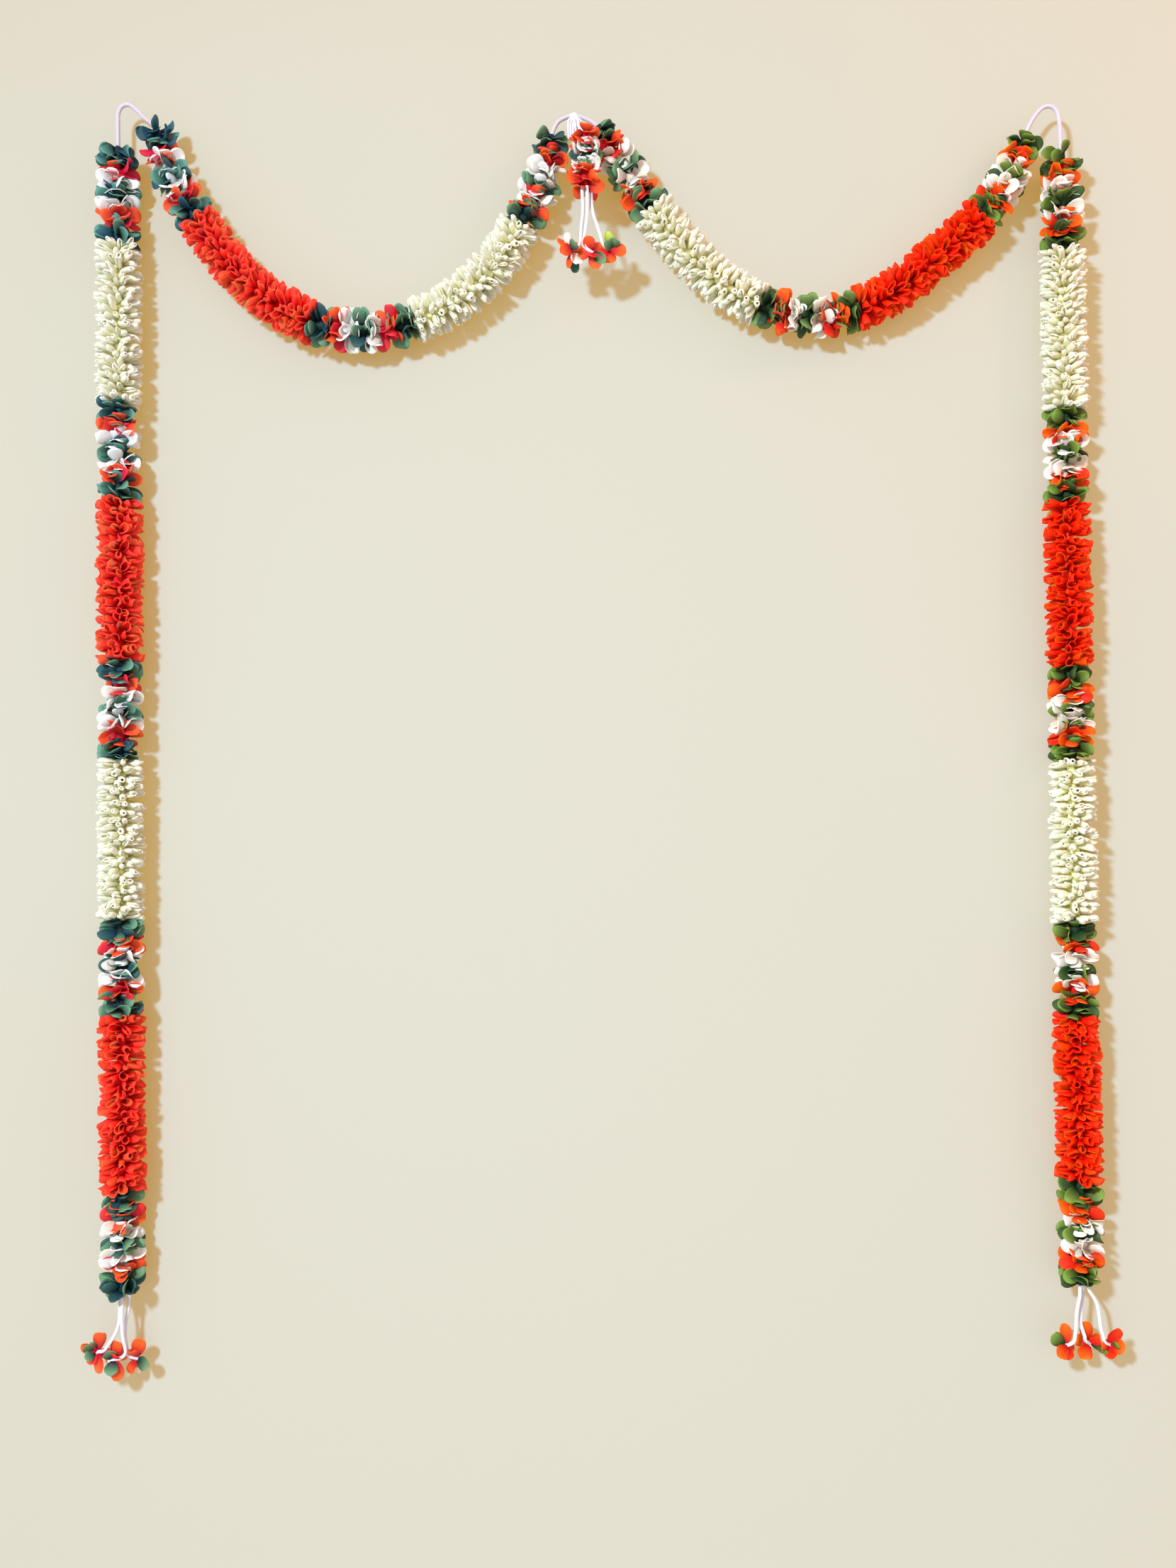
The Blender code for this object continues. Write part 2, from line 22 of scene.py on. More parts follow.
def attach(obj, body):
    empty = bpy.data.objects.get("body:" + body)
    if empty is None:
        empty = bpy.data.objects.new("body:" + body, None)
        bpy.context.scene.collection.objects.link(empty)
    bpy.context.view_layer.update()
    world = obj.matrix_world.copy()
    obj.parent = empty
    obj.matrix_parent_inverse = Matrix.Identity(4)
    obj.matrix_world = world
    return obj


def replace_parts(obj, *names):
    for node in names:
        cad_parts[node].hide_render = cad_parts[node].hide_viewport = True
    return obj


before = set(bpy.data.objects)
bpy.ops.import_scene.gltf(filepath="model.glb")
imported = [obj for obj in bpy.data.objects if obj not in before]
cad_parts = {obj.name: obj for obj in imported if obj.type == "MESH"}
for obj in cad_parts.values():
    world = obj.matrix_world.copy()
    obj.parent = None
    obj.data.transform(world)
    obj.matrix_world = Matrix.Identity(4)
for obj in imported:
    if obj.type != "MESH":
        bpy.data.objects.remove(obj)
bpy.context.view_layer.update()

# %% [markdown]
# ## The lines that the petals are threaded on
#
# Every section follows the cord, so the cord's line comes first. The drops hang straight.
# A swag is a chain held at both ends, but hand-hung ones are never true catenaries, so
# this one goes through measured points. The points are the same as in the CAD source,
# which keeps each petal inside the solid that it stands for.

# %% A route that is read by its arc length
FRONT = np.array([0.0, -1.0, 0.0])
UP = np.array([0.0, 0.0, 1.0])


def unit(vectors):
    """Each vector divided by its own length."""
    return vectors / np.linalg.norm(vectors, axis=-1, keepdims=True)


def running_sum(steps):
    """0, then the sum of the first step, of the first two, and so on."""
    return np.concatenate([[0.0], np.cumsum(steps)])


def distances_along(points):
    """How far each point of a path is from its first, summed over the chords."""
    return running_sum(np.linalg.norm(np.diff(points, axis=0), axis=1))


def turned(y, z, angle):
    """The second and third coordinates, turned about the first axis."""
    return y * np.cos(angle) - z * np.sin(angle), y * np.sin(angle) + z * np.cos(angle)


class Route:
    """A smooth curve through points.

    Between two points it is a cubic whose slope at each point is half the step between
    that point's two neighbours. Distances along it are summed over many short chords.
    """

    # Chords between two points, and how far to either side the direction is measured
    steps = 24
    reach = 0.004

    def __init__(self, points):
        knots = np.array(points, dtype=float)
        knots = np.vstack([2 * knots[0] - knots[1], knots, 2 * knots[-1] - knots[-2]])
        a, b, c, d = (knots[i:len(knots) - 3 + i, None, :] for i in range(4))
        t = np.linspace(0.0, 1.0, self.steps, endpoint=False)[None, :, None]
        bend = (2 * a - 5 * b + 4 * c - d) * t ** 2 + (3 * b - a - 3 * c + d) * t ** 3
        curve = 0.5 * (2 * b + (c - a) * t + bend)
        self.points = np.vstack([curve.reshape(-1, 3), knots[-2]])
        self.lengths = distances_along(self.points)
        self.length = self.lengths[-1]

    def distance_of(self, index):
        """The arc length at the route's own point of this number."""
        return self.lengths[index * self.steps]

    def spread(self, count):
        """This many points, evenly spaced from end to end."""
        return self.at(np.linspace(0.0, self.length, count))

    def at(self, distances):
        """The points at these arc lengths."""
        axes = [np.interp(distances, self.lengths, axis) for axis in self.points.T]
        return np.stack(axes, axis=-1)

    def frames(self, distances):
        """At each distance: the point, the direction along, and two directions across."""
        ahead = self.at(np.minimum(distances + self.reach, self.length))
        behind = self.at(np.maximum(distances - self.reach, 0.0))
        along = unit(ahead - behind)
        side = unit(np.cross(along, FRONT))
        return self.at(distances), along, side, np.cross(side, along)


# %% The cord's upper run, from drop to drop over three hooks
# Places in the plane of the strands, to the right and up, in mm
LEFT_TOP = (-499, -24)
RIGHT_TOP = (533, -42)
LEFT_LOOP = ((-499, 4), (-498.5, 14), (-494, 21.5), (-486, 22.5), (-478, 16.5), (-470, 8))
LEFT_SWAG = ((-458, -4), (-452, -27), (-443, -53), (-428, -81), (-399, -125), (-369, -163),
             (-331, -196), (-291, -219), (-244, -229), (-195, -225), (-154, -211),
             (-112, -183), (-78, -146), (-54, -104), (-38, -74), (-28, -46), (-24, -18))
CENTRE_LOOP = ((-18, -3), (-8, 3.5), (0, 4.5), (10, 3))
RIGHT_SWAG = ((26, -7), (39, -30), (58, -58), (84, -98), (110, -131), (137, -161),
              (168, -188), (206, -208), (250, -218), (285, -218), (320, -207),
              (358, -186), (400, -152), (441, -115), (464, -87), (480, -59), (491, -32))
RIGHT_LOOP = ((499, -12), (507, 1), (515, 8.5), (523.5, 9.5), (530, 3), (532.5, -12))


def route_mm(points):
    """A route through points that are given in mm."""
    return Route(np.array(points) / 1000)


upper_points = (LEFT_TOP,) + LEFT_LOOP + LEFT_SWAG + CENTRE_LOOP + RIGHT_SWAG
upper_points += RIGHT_LOOP + (RIGHT_TOP,)
upper = route_mm([(x, 0, z) for x, z in upper_points])
left_start = upper.distance_of(1 + len(LEFT_LOOP))
right_start = upper.distance_of(1 + len(LEFT_LOOP) + len(LEFT_SWAG) + len(CENTRE_LOOP))
print(f"upper run {upper.length:.3f} m long")

# %% Lengths of the sections, and the two drops and the pendant
DROP_ORDER = ("band", "cream", "band", "red", "band", "cream", "band", "red", "band")
STRANDS = {
    "left_drop": (DROP_ORDER,
                  (0.108, 0.175, 0.106, 0.175, 0.107, 0.174, 0.101, 0.188, 0.113)),
    "right_drop": (DROP_ORDER,
                   (0.108, 0.175, 0.101, 0.179, 0.103, 0.174, 0.101, 0.178, 0.111)),
    "left_swag": (("band", "red", "band", "cream", "band"),
                  (0.113, 0.172, 0.112, 0.160, 0.108)),
    "right_swag": (("band", "cream", "band", "red", "band"),
                   (0.112, 0.157, 0.109, 0.171, 0.099)),
}
PENDANT_LOOP = ((-4.5, -7.4, 4), (2.2, -7.4, 4), (6, -11, 1.5), (9, -19, -4.5))
PENDANT_ROUTE = ((11.8, -28.5, -12.5), (13, -31.5, -28), (13.5, -30, -44), (13, -27.5, -59),
                 (12.5, -25, -74), (12.5, -24, -88))


def drop_route(top, lengths):
    """A straight line down from the top, as long as the sections together."""
    start = np.array((top[0], 0, top[1])) / 1000
    return Route([start, start - sum(lengths) * UP])


routes = {
    "left_drop": (drop_route(LEFT_TOP, STRANDS["left_drop"][1]), 0.0),
    "right_drop": (drop_route(RIGHT_TOP, STRANDS["right_drop"][1]), 0.0),
    "left_swag": (upper, left_start),
    "right_swag": (upper, right_start),
}
BARE_ABOVE_PENDANT = 0.018
pendant = route_mm(PENDANT_LOOP + PENDANT_ROUTE)
pendant_start = pendant.distance_of(len(PENDANT_LOOP)) + BARE_ABOVE_PENDANT
print({name: round(sum(lengths), 3) for name, (order, lengths) in STRANDS.items()})

# %% [markdown]
# ## From a sheet of points to a piece of cloth
#
# A petal is cloth with two faces and a cut edge. A single sheet of faces would look right
# from one side only, so each sheet is closed into a thin shell: the points are moved half
# the cloth's thickness to either side, and the two copies are joined round the edge. The
# edge faces are left flat, because smoothing them would round the whole petal's shading.

# %% Closing sheets into shells
CLOTH = 0.00035
# The cloth's own coordinates are in centimetres
CLOTH_UNITS = 100


def shells(sheets):
    """Thin closed shells from sheets of points, shape (petals, rows, columns, 3).

    The sheet's normal is the cross product of its step across and its step along. One
    copy is moved half a thickness along it and the other half a thickness back, and the
    second is read backwards so that both together make a ring of columns.
    """
    normal = unit(np.cross(np.gradient(sheets, axis=2), np.gradient(sheets, axis=1)))
    near = sheets + normal * CLOTH / 2
    far = sheets - normal * CLOTH / 2
    return np.concatenate([near, far[:, :, ::-1]], axis=2)


def shell_faces(rows, columns):
    """Faces of one shell, and which of them lie on the cut edge."""
    ring = 2 * columns
    index = np.arange(rows * ring).reshape(rows, ring)
    beside = np.roll(index, -1, axis=1)
    walls = np.stack([index[:-1], beside[:-1], beside[1:], index[1:]], axis=-1)
    edge = np.zeros(walls.shape[:2], dtype=bool)
    edge[:, [columns - 1, ring - 1]] = True
    k = np.arange(columns - 1)
    root, tip = index[0], index[-1]
    root_faces = np.stack([root[k], root[ring - 1 - k], root[ring - 2 - k], root[k + 1]], -1)
    tip_faces = np.stack([tip[k], tip[k + 1], tip[ring - 2 - k], tip[ring - 1 - k]], -1)
    faces = np.vstack([walls.reshape(-1, 4), root_faces, tip_faces])
    return faces, np.concatenate([edge.ravel(), np.ones(2 * len(k), dtype=bool)])


def ring_angles(sides):
    """The angles of a ring's points, as one row."""
    return np.arange(sides)[None, :] * 2 * np.pi / sides


def tube(centre, side, front, reach, radius, run):
    """A tube's points, its walls and two end caps, and its places on flat cloth.

    Each ring's points lie as far from the centre as their reach says, and turn from side
    to front. A point's flat place is its angle times the radius, and its run along.
    """
    rows, sides = reach.shape
    angle = ring_angles(sides)
    out = np.cos(angle)[..., None] * side[:, None] + np.sin(angle)[..., None] * front[:, None]
    points = centre[:, None] + reach[..., None] * out
    index = np.arange(rows * sides).reshape(rows, sides)
    beside = np.roll(index, -1, axis=1)
    walls = np.stack([index[:-1], index[1:], beside[1:], beside[:-1]], axis=-1)
    caps = np.stack([index[0], index[-1][::-1]])
    cloth = np.stack(np.broadcast_arrays(angle * radius, run), axis=-1)
    return points.reshape(-1, 3), [walls.reshape(-1, 4), caps], cloth.reshape(-1, 2)


# %% Putting points and faces into a mesh
CORE_SIDES = 14


def show(name, data):
    """A new object of the scene that holds this mesh, lamp or camera."""
    made = bpy.data.objects.new(name, data)
    bpy.context.scene.collection.objects.link(made)
    return made


class Heap:
    """A growing heap of points and faces that becomes one piece."""

    def __init__(self):
        self.points, self.cloth, self.values = [], [], {}
        self.faces, self.flat, self.slots, self.count = [], [], [], 0

    def put(self, points, faces, flat, cloth, slot, **values):
        """Add points, and groups of faces that are flat or smooth.

        cloth holds each point's place on the flat ribbon, for the weave, and values holds
        one number a point under each name, for the dye and its painted shade.
        """
        self.points.append(points)
        self.cloth.append(cloth * CLOTH_UNITS)
        for key, numbers in values.items():
            self.values.setdefault(key, []).append(numbers)
        for group, edge in zip(faces, flat):
            self.faces.append(group + self.count)
            self.flat.append(np.broadcast_to(edge, len(group)))
            self.slots.append(np.full(len(group), slot))
        self.count += len(points)

    def add(self, sheets, across, along, size, tones, slot):
        """Add sheets of one finish. size is the flat petal's width and length."""
        petals, rows, columns = sheets.shape[:3]
        faces, edge = shell_faces(rows, columns)
        starts = rows * 2 * columns * np.arange(petals)
        both = np.concatenate([across, across[::-1]])
        u, v, tone = np.broadcast_arrays(both[None, None, :], along[None, :, None],
                                         tones[:, None, None])
        flat_place = np.stack([u * size[0] / 2, v * size[1]], axis=-1)
        self.put(shells(sheets).reshape(-1, 3),
                 [(faces[None] + starts[:, None, None]).reshape(-1, 4)],
                 [np.tile(edge, petals)], flat_place.reshape(-1, 2), slot,
                 petal=tone.ravel(), along=v.ravel(), across=np.abs(u).ravel())

    def add_core(self, route, start, end, radius, slot, rng, rows=5):
        """The cloth pressed round the cord: a barrel whose radius has two ripples.

        The radius is less at both ends by a sine, and three and five waves run round it.
        """
        run = np.linspace(0.0, 1.0, rows)[:, None]
        angle = ring_angles(CORE_SIDES)
        waves = 0.12 * np.sin(3 * angle + 9 * run + rng.uniform(0, 6))
        waves = waves + 0.09 * np.sin(5 * angle - 7 * run + rng.uniform(0, 6))
        reach = radius * (0.72 + 0.28 * np.sin(np.pi * run) + waves)
        run = run * (end - start)
        centre, along, side, front = route.frames(start + run[:, 0])
        points, faces, cloth = tube(centre, side, front, reach, radius, run)
        count = len(points)
        # Its place along is set near the root, so the core takes the painted shade of the
        # petals' roots
        self.put(points, faces, (False, True), cloth, slot, across=np.zeros(count),
                 petal=np.full(count, rng.random()), along=np.full(count, 0.12))

    def finish(self, name, finishes):
        """Everything added so far, as one piece."""
        corners = np.concatenate([group.ravel() for group in self.faces])
        sizes = np.concatenate([np.full(len(group), group.shape[1]) for group in self.faces])
        mesh = bpy.data.meshes.new(name)
        mesh.vertices.add(self.count)
        mesh.vertices.foreach_set("co", np.vstack(self.points).astype(np.float32).ravel())
        mesh.loops.add(len(corners))
        mesh.loops.foreach_set("vertex_index", corners.astype(np.int32))
        mesh.polygons.add(len(sizes))
        for key, numbers in (("loop_start", running_sum(sizes)[:-1].astype(np.int32)),
                             ("use_smooth", ~np.concatenate(self.flat)),
                             ("material_index", np.concatenate(self.slots).astype(np.int32))):
            mesh.polygons.foreach_set(key, numbers)
        mesh.update(calc_edges=True)
        flat_places = np.vstack(self.cloth)[corners].astype(np.float32)
        mesh.uv_layers.new(name="cloth").data.foreach_set("uv", flat_places.ravel())
        for key, parts in self.values.items():
            data = mesh.attributes.new(key, "FLOAT", "POINT").data
            data.foreach_set("value", np.concatenate(parts).astype(np.float32))
        for finish in finishes:
            mesh.materials.append(finish)
        return show(name, mesh)


def place(route, distances, turns, leans, root, sheets):
    """Stand local sheets on a route, one at each distance.

    A local sheet has x out from the cord, y round it and z along it. The petal leans out
    of the radial direction by its angle, towards the strand's far end.
    """
    centre, along, side, front = route.frames(distances)
    out = np.cos(turns)[:, None] * side + np.sin(turns)[:, None] * front
    round_ = -np.sin(turns)[:, None] * side + np.cos(turns)[:, None] * front
    reach = np.cos(leans)[:, None] * out + np.sin(leans)[:, None] * along
    rise = np.cos(leans)[:, None] * along - np.sin(leans)[:, None] * out
    base = centre + root * out
    axes = np.stack([reach, round_, rise], axis=1)
    return base[:, None, None, :] + np.einsum("prcx,pxk->prck", sheets, axes)


# %% [markdown]
# ## The rolled petals of the cream and red sections
#
# On the real garland each of these petals is a strip of satin rolled into a tube and
# threaded through its narrow end. Seen from the side it is a soft finger, and end on it
# shows a rolled rim round a dark hole. A cylinder would miss the overlapping edges and
# the slanting mouth, so the sheet is really rolled: its angle round the tube grows across
# the cloth. The cream ones are rolled tight and turned in at the rim like buds. The red
# ones open into trumpets, and a few have come undone.

# %% One rolled petal as a formula
ROLL_LENGTH = 0.0222
ROLL_WIDTH = 0.024
ROLL_ROOT = 0.0034
ROOT_RADIUS = 0.0017
ROOT_WRAP = 3.0
across_roll = np.linspace(-1.0, 1.0, 8)
along_roll = np.array([0.0, 0.34, 0.72, 0.93, 1.0])
# How far the rim has closed at each of the rows
closing_roll = np.array([0.0, 0.0, 0.0, 0.35, 1.0])
# For each dye the lowest and highest wrap at the mouth, radius, rim turned in, and slant,
# then the petals in a row and the step from row to row
ROLLS = {
    "cream": ((2.9, 3.5), (0.0025, 0.0038), (0.45, 0.92), (0.00, 0.34), 15, 0.0088),
    "red": ((1.3, 2.9), (0.0033, 0.0048), (-0.15, 0.50), (0.02, 0.36), 13, 0.0098),
}


def rolled_sheets(count, dye, rng):
    """Petals rolled into tubes, pointing along +x.

    The turn round the tube is the place across times the wrap. The radius swells as a
    sine up to three quarters of the length, is less at one edge so that the edges pass
    each other, and is less again at the rim. The mouth slants: the reach falls off with
    the power 1.4 of the distance from the middle of the cloth. Last, the petal bends by
    the square of its reach.
    """
    u = across_roll[None, None, :]
    v = along_roll[None, :, None]
    vary = lambda limits: rng.uniform(*limits, count)[:, None, None]
    wraps, radii, rims, slants = ROLLS[dye][:4]
    reach = ROLL_LENGTH * vary((0.92, 1.03)) * v * (1 - vary(slants) * v * abs(u) ** 1.4)
    wrap = ROOT_WRAP + (vary(wraps) - ROOT_WRAP) * v
    swell = np.sin(0.5 * np.pi * np.minimum(v / 0.75, 1.0))
    radius = ROOT_RADIUS + (vary(radii) - ROOT_RADIUS) * swell
    radius = radius * (1 - 0.13 * u) * (1 - vary(rims) * closing_roll[None, :, None])
    bend = (reach / ROLL_LENGTH) ** 2
    squash = vary((0.84, 1.12))
    y = radius * np.sin(u * wrap) * squash + vary((-0.0022, 0.0022)) * bend
    z = radius * np.cos(u * wrap) / squash + vary((-0.0024, 0.0024)) * bend
    y, z = turned(y, z, vary((0.0, 2 * np.pi)))
    return np.stack([np.broadcast_to(reach, y.shape), y, z], axis=-1)


# %% A whole section of rolled petals
CORE_RADIUS = 0.0062


def rolled_section(name, route, start, end, dye, finishes, rng):
    """Rows of petals round the cord, each row turned half a petal to the last."""
    in_row, pitch = ROLLS[dye][4:]
    rows = round((end - start) / pitch)
    row, place_in_row = np.divmod(np.arange(rows * in_row), in_row)
    count = len(row)
    turns = (place_in_row + 0.5 * (row % 2)) * 2 * np.pi / in_row
    turns = turns + rng.uniform(-0.16, 0.16, count)
    pitch = (end - start) / rows
    distances = start + (row + 0.5) * pitch + rng.uniform(-0.0020, 0.0020, count)
    leans = rng.uniform(-0.22, 0.22, count)
    sheets = rolled_sheets(count, dye, rng)
    sheets = place(route, distances, turns, leans, ROLL_ROOT, sheets)
    heap = Heap()
    size = (ROLL_WIDTH, ROLL_LENGTH)
    heap.add(sheets, across_roll, along_roll, size, rng.random(count), 0)
    heap.add_core(route, start, end, CORE_RADIUS, 0, rng, rows=2 * rows)
    return heap.finish(name, [finishes[dye]]), count


# %% [markdown]
# ## The petal discs of the bands
#
# A band is seven rings of colour, and each ring is four satin discs cut into four round
# lobes, with a fifth disc at the band's ends. Threaded and pressed together they crumple.
# The wall behind flattens the strand, so lobes at its front and back fold along it, and
# lobes at its sides twist about their own middle. Either way they turn their faces to the
# viewer, and hide the cord. Flat discs would look like washers, so each lobe gets its own
# fold, cup, curl and twist.

# %% One lobe as a formula
across_lobe = np.linspace(-1.0, 1.0, 7)
along_lobe = np.array([0.0, 0.28, 0.55, 0.80, 1.0])


def lobe_sheets(lengths, widths, lifts, curls, cups, twists, ripples, root=0.32,
                across=across_lobe, along=along_lobe):
    """Round lobes pointing along +x, cupped towards +z.

    Half the width grows from its share at the root as a quarter sine, and past three
    fifths of the length it closes like a circle. The middle line is an arc: its angle is
    the lift plus the curl times the place along. Across, the cloth is an arc too, whose
    angle at the edge is the cup. The edge ripples, and the lobe is turned by its twist
    about +x.
    """
    shape = lambda numbers: np.asarray(numbers, dtype=float)[:, None, None]
    length, width, lift, curl = map(shape, (lengths, widths, lifts, curls))
    cup, twist, ripple = map(shape, (cups, twists, ripples))
    u = across[None, None, :]
    v = along[None, :, None]
    closing = np.clip((v - 0.6) / 0.4, 0.0, 1.0)
    half = width * (root + (1 - root) * np.sin(0.5 * np.pi * np.minimum(v / 0.6, 1.0)))
    half = half * np.sqrt(1 - 0.56 * closing ** 2)
    run = length * v - 0.30 * width * u ** 2 * v ** 3
    curl = np.where(np.abs(curl) < 1e-3, 1e-3, curl)
    angle = lift + curl * run / length
    x = length * (np.sin(angle) - np.sin(lift)) / curl
    z = length * (np.cos(lift) - np.cos(angle)) / curl
    y = half * np.sin(cup * u) / cup
    bowl = half * (1 - np.cos(cup * u)) / cup
    bowl = bowl + ripple * np.sin(5.0 * u + 4.0 * v) * v * np.abs(u)
    x = x - bowl * np.sin(angle)
    z = z + bowl * np.cos(angle)
    return np.stack([x, *turned(y, z, twist)], axis=-1)


# %% A band of lobed discs
RING_ORDER = ("green", "orange", "white", "green", "white", "orange", "green")
PENDANT_ORDER = ("orange", "white", "green", "white", "orange")
LOBES = 4
DISCS = 4
# How much of a ring's length its discs take up
DISC_SPREAD = 0.66
LOBE_LENGTH = 0.0218
FOLDED_LENGTH = 0.76
LOBE_WIDTH = 0.0083
SHARES = (1.35, 0.95, 0.85, 0.80, 0.85, 0.95, 1.35)
LOBE_ROOT = 0.0030
BAND_CORE = 0.0052
DYES = ("green", "orange", "white")


def band(name, route, start, end, order, reaches, ends, finishes, rng, shares=SHARES):
    """Rings of discs. reaches scales each ring's petals and shares its length of cord, and
    ends is how far the first and last rings lean along the strand."""
    edges = running_sum(shares) / sum(shares) * (end - start) + start
    heap = Heap()
    last = len(order) - 1
    for index, dye in enumerate(order):
        discs = DISCS + (index in (0, last))
        count = LOBES * discs
        disc = np.repeat(np.arange(discs), LOBES)
        lobe = np.tile(np.arange(LOBES), discs)
        turns = rng.uniform(0, 2 * np.pi) + (lobe + disc / discs) * 2 * np.pi / LOBES
        turns = turns + rng.uniform(-0.15, 0.15, count)
        middle = (edges[index] + edges[index + 1]) / 2
        pitch = edges[index + 1] - edges[index]
        distances = middle + (disc / (discs - 1) - 0.5) * DISC_SPREAD * pitch
        folded = rng.random(count) < 0.3 + 0.65 * np.sin(turns) ** 2
        way = rng.choice([-1.0, 1.0], discs)
        if index in (0, last):
            way = np.linspace(-1.0, 1.0, discs) + 0.1
        way = np.sign(way)[disc]
        if index == 0 and ends[0] > 0:
            way = np.abs(way)
        outward = (index == last) - (index == 0)
        folds = way * rng.uniform(0.55, 1.20, count) * np.where(way == outward, 0.5, 1.0)
        leans = np.where(folded, folds, rng.normal(0.0, 0.15, count))
        leans = leans - ends[0] * (index == 0) + ends[1] * (index == last)
        twists = np.where(folded, rng.normal(0.0, 0.25, count),
                          rng.choice([-1.0, 1.0], discs)[disc] * rng.uniform(0.7, 1.4, count))
        sheets = lobe_sheets(
            LOBE_LENGTH * reaches[index] * rng.uniform(0.95, 1.03, count)
            * np.where(folded, FOLDED_LENGTH, 1.0),
            LOBE_WIDTH * rng.uniform(0.92, 1.08, count), np.zeros(count),
            -way * rng.uniform(0.0, 0.9, count),
            rng.choice([-1.0, 1.0], count, p=[0.35, 0.65]) * way
            * rng.uniform(0.35, 0.95, count), twists, rng.uniform(0.0, 0.0009, count))
        sheets = place(route, distances, turns, leans, LOBE_ROOT, sheets)
        slot = DYES.index(dye)
        heap.add(sheets, across_lobe, along_lobe, (2 * LOBE_WIDTH, LOBE_LENGTH),
                 rng.random(count), slot)
        heap.add_core(route, middle - 0.49 * pitch, middle + 0.49 * pitch, BAND_CORE, slot,
                      rng)
    return heap.finish(name, [finishes[dye] for dye in DYES])


# %% [markdown]
# ## Finishes as arithmetic
#
# A finish is a small network of nodes. Written node by node it is hard to read, so this
# class lets a socket be used in ordinary sums: adding or multiplying two sockets puts in
# the Math node that does it. Everything that isn't a sum goes through one method.

# %% A socket that can be added and multiplied
class Field:
    """One output socket of a finish. Arithmetic on it adds Math nodes."""

    def __init__(self, finish, socket):
        self.finish, self.socket = finish, socket

    def sum_of(self, operation, first, second):
        """The Math node of this operation on two fields or numbers."""
        return self.finish.node("ShaderNodeMath", {"operation": operation},
                                {0: first, 1: second})

    def __add__(self, other):
        return self.sum_of("ADD", self, other)

    def __radd__(self, other):
        return self.sum_of("ADD", other, self)

    def __sub__(self, other):
        return self.sum_of("SUBTRACT", self, other)

    def __rsub__(self, other):
        return self.sum_of("SUBTRACT", other, self)

    def __mul__(self, other):
        return self.sum_of("MULTIPLY", self, other)

    def __rmul__(self, other):
        return self.sum_of("MULTIPLY", other, self)

    def __pow__(self, other):
        return self.sum_of("POWER", self, other)


class Finish:
    """One material around a Principled shader."""

    def __init__(self, name, **steady):
        self.material = bpy.data.materials.new(name)
        self.material.use_nodes = True
        self.tree = self.material.node_tree
        self.shader = self.tree.nodes["Principled BSDF"]
        for socket, value in steady.items():
            self.shader.inputs[socket.replace("_", " ")].default_value = value

    def node(self, kind, settings=None, inputs=None, output=0):
        """Any node: its settings first, then the values or links of its sockets."""
        made = self.tree.nodes.new(kind)
        for key, value in (settings or {}).items():
            setattr(made, key, value)
        for key, value in (inputs or {}).items():
            if isinstance(value, Field):
                self.tree.links.new(value.socket, made.inputs[key])
            else:
                made.inputs[key].default_value = value
        return Field(self, made.outputs[output])

    def value(self, name):
        """A number that the mesh stores at each point."""
        return self.node("ShaderNodeAttribute", {"attribute_name": name}, output=2)

    def clamp(self, field):
        """A field held between 0 and 1."""
        return self.node("ShaderNodeClamp", {}, {0: field})

    def mix(self, share, first, second, way="MIX"):
        """Two colours mixed by a share from 0 to 1."""
        colours = {6: first, 7: second}
        colours = {key: c if isinstance(c, Field) else (*c, 1.0)
                   for key, c in colours.items()}
        return self.node("ShaderNodeMix", {"data_type": "RGBA", "blend_type": way},
                         {0: share, **colours}, output=2)

    def noise(self, scale, where=None):
        """Soft noise on the object's own coordinates, or on others that are given."""
        if where is None:
            where = self.node("ShaderNodeTexCoord", output=3)
        return self.node("ShaderNodeTexNoise", {},
                         {"Vector": where, "Scale": scale, "Detail": 3.0})

    def drive(self, **sockets):
        """Link fields into the shader's sockets."""
        for name, field in sockets.items():
            self.tree.links.new(field.socket, self.shader.inputs[name.replace("_", " ")])
        return self

    def relief(self, height, strength, distance):
        """Bump the surface by a height."""
        bump = self.node("ShaderNodeBump", {}, {"Strength": strength, "Distance": distance,
                                                "Height": height})
        return self.drive(Normal=bump)


# %% [markdown]
# ## Satin
#
# Satin is woven with long floating threads, which is why it shines in soft streaks along
# the ribbon. The threads are a quarter of a millimetre wide, so they are two crossed sine
# waves on the petal's own flat coordinates, stronger across than along. The colour is
# darker at a petal's root, where the cloth is pinched and lit by its neighbours: that
# darkening is painted shade. Each petal differs a little from the next, as ribbon from
# several rolls does. The colour is also tinted cool at the upper left and warm at the right
# and the foot, a painted tint of the lamps' light.

# %% The satin finish
# How fast the warp's sine turns, a thread every 0.28 mm
THREADS = 2 * math.pi / 0.028
ROUGHNESS = 0.38


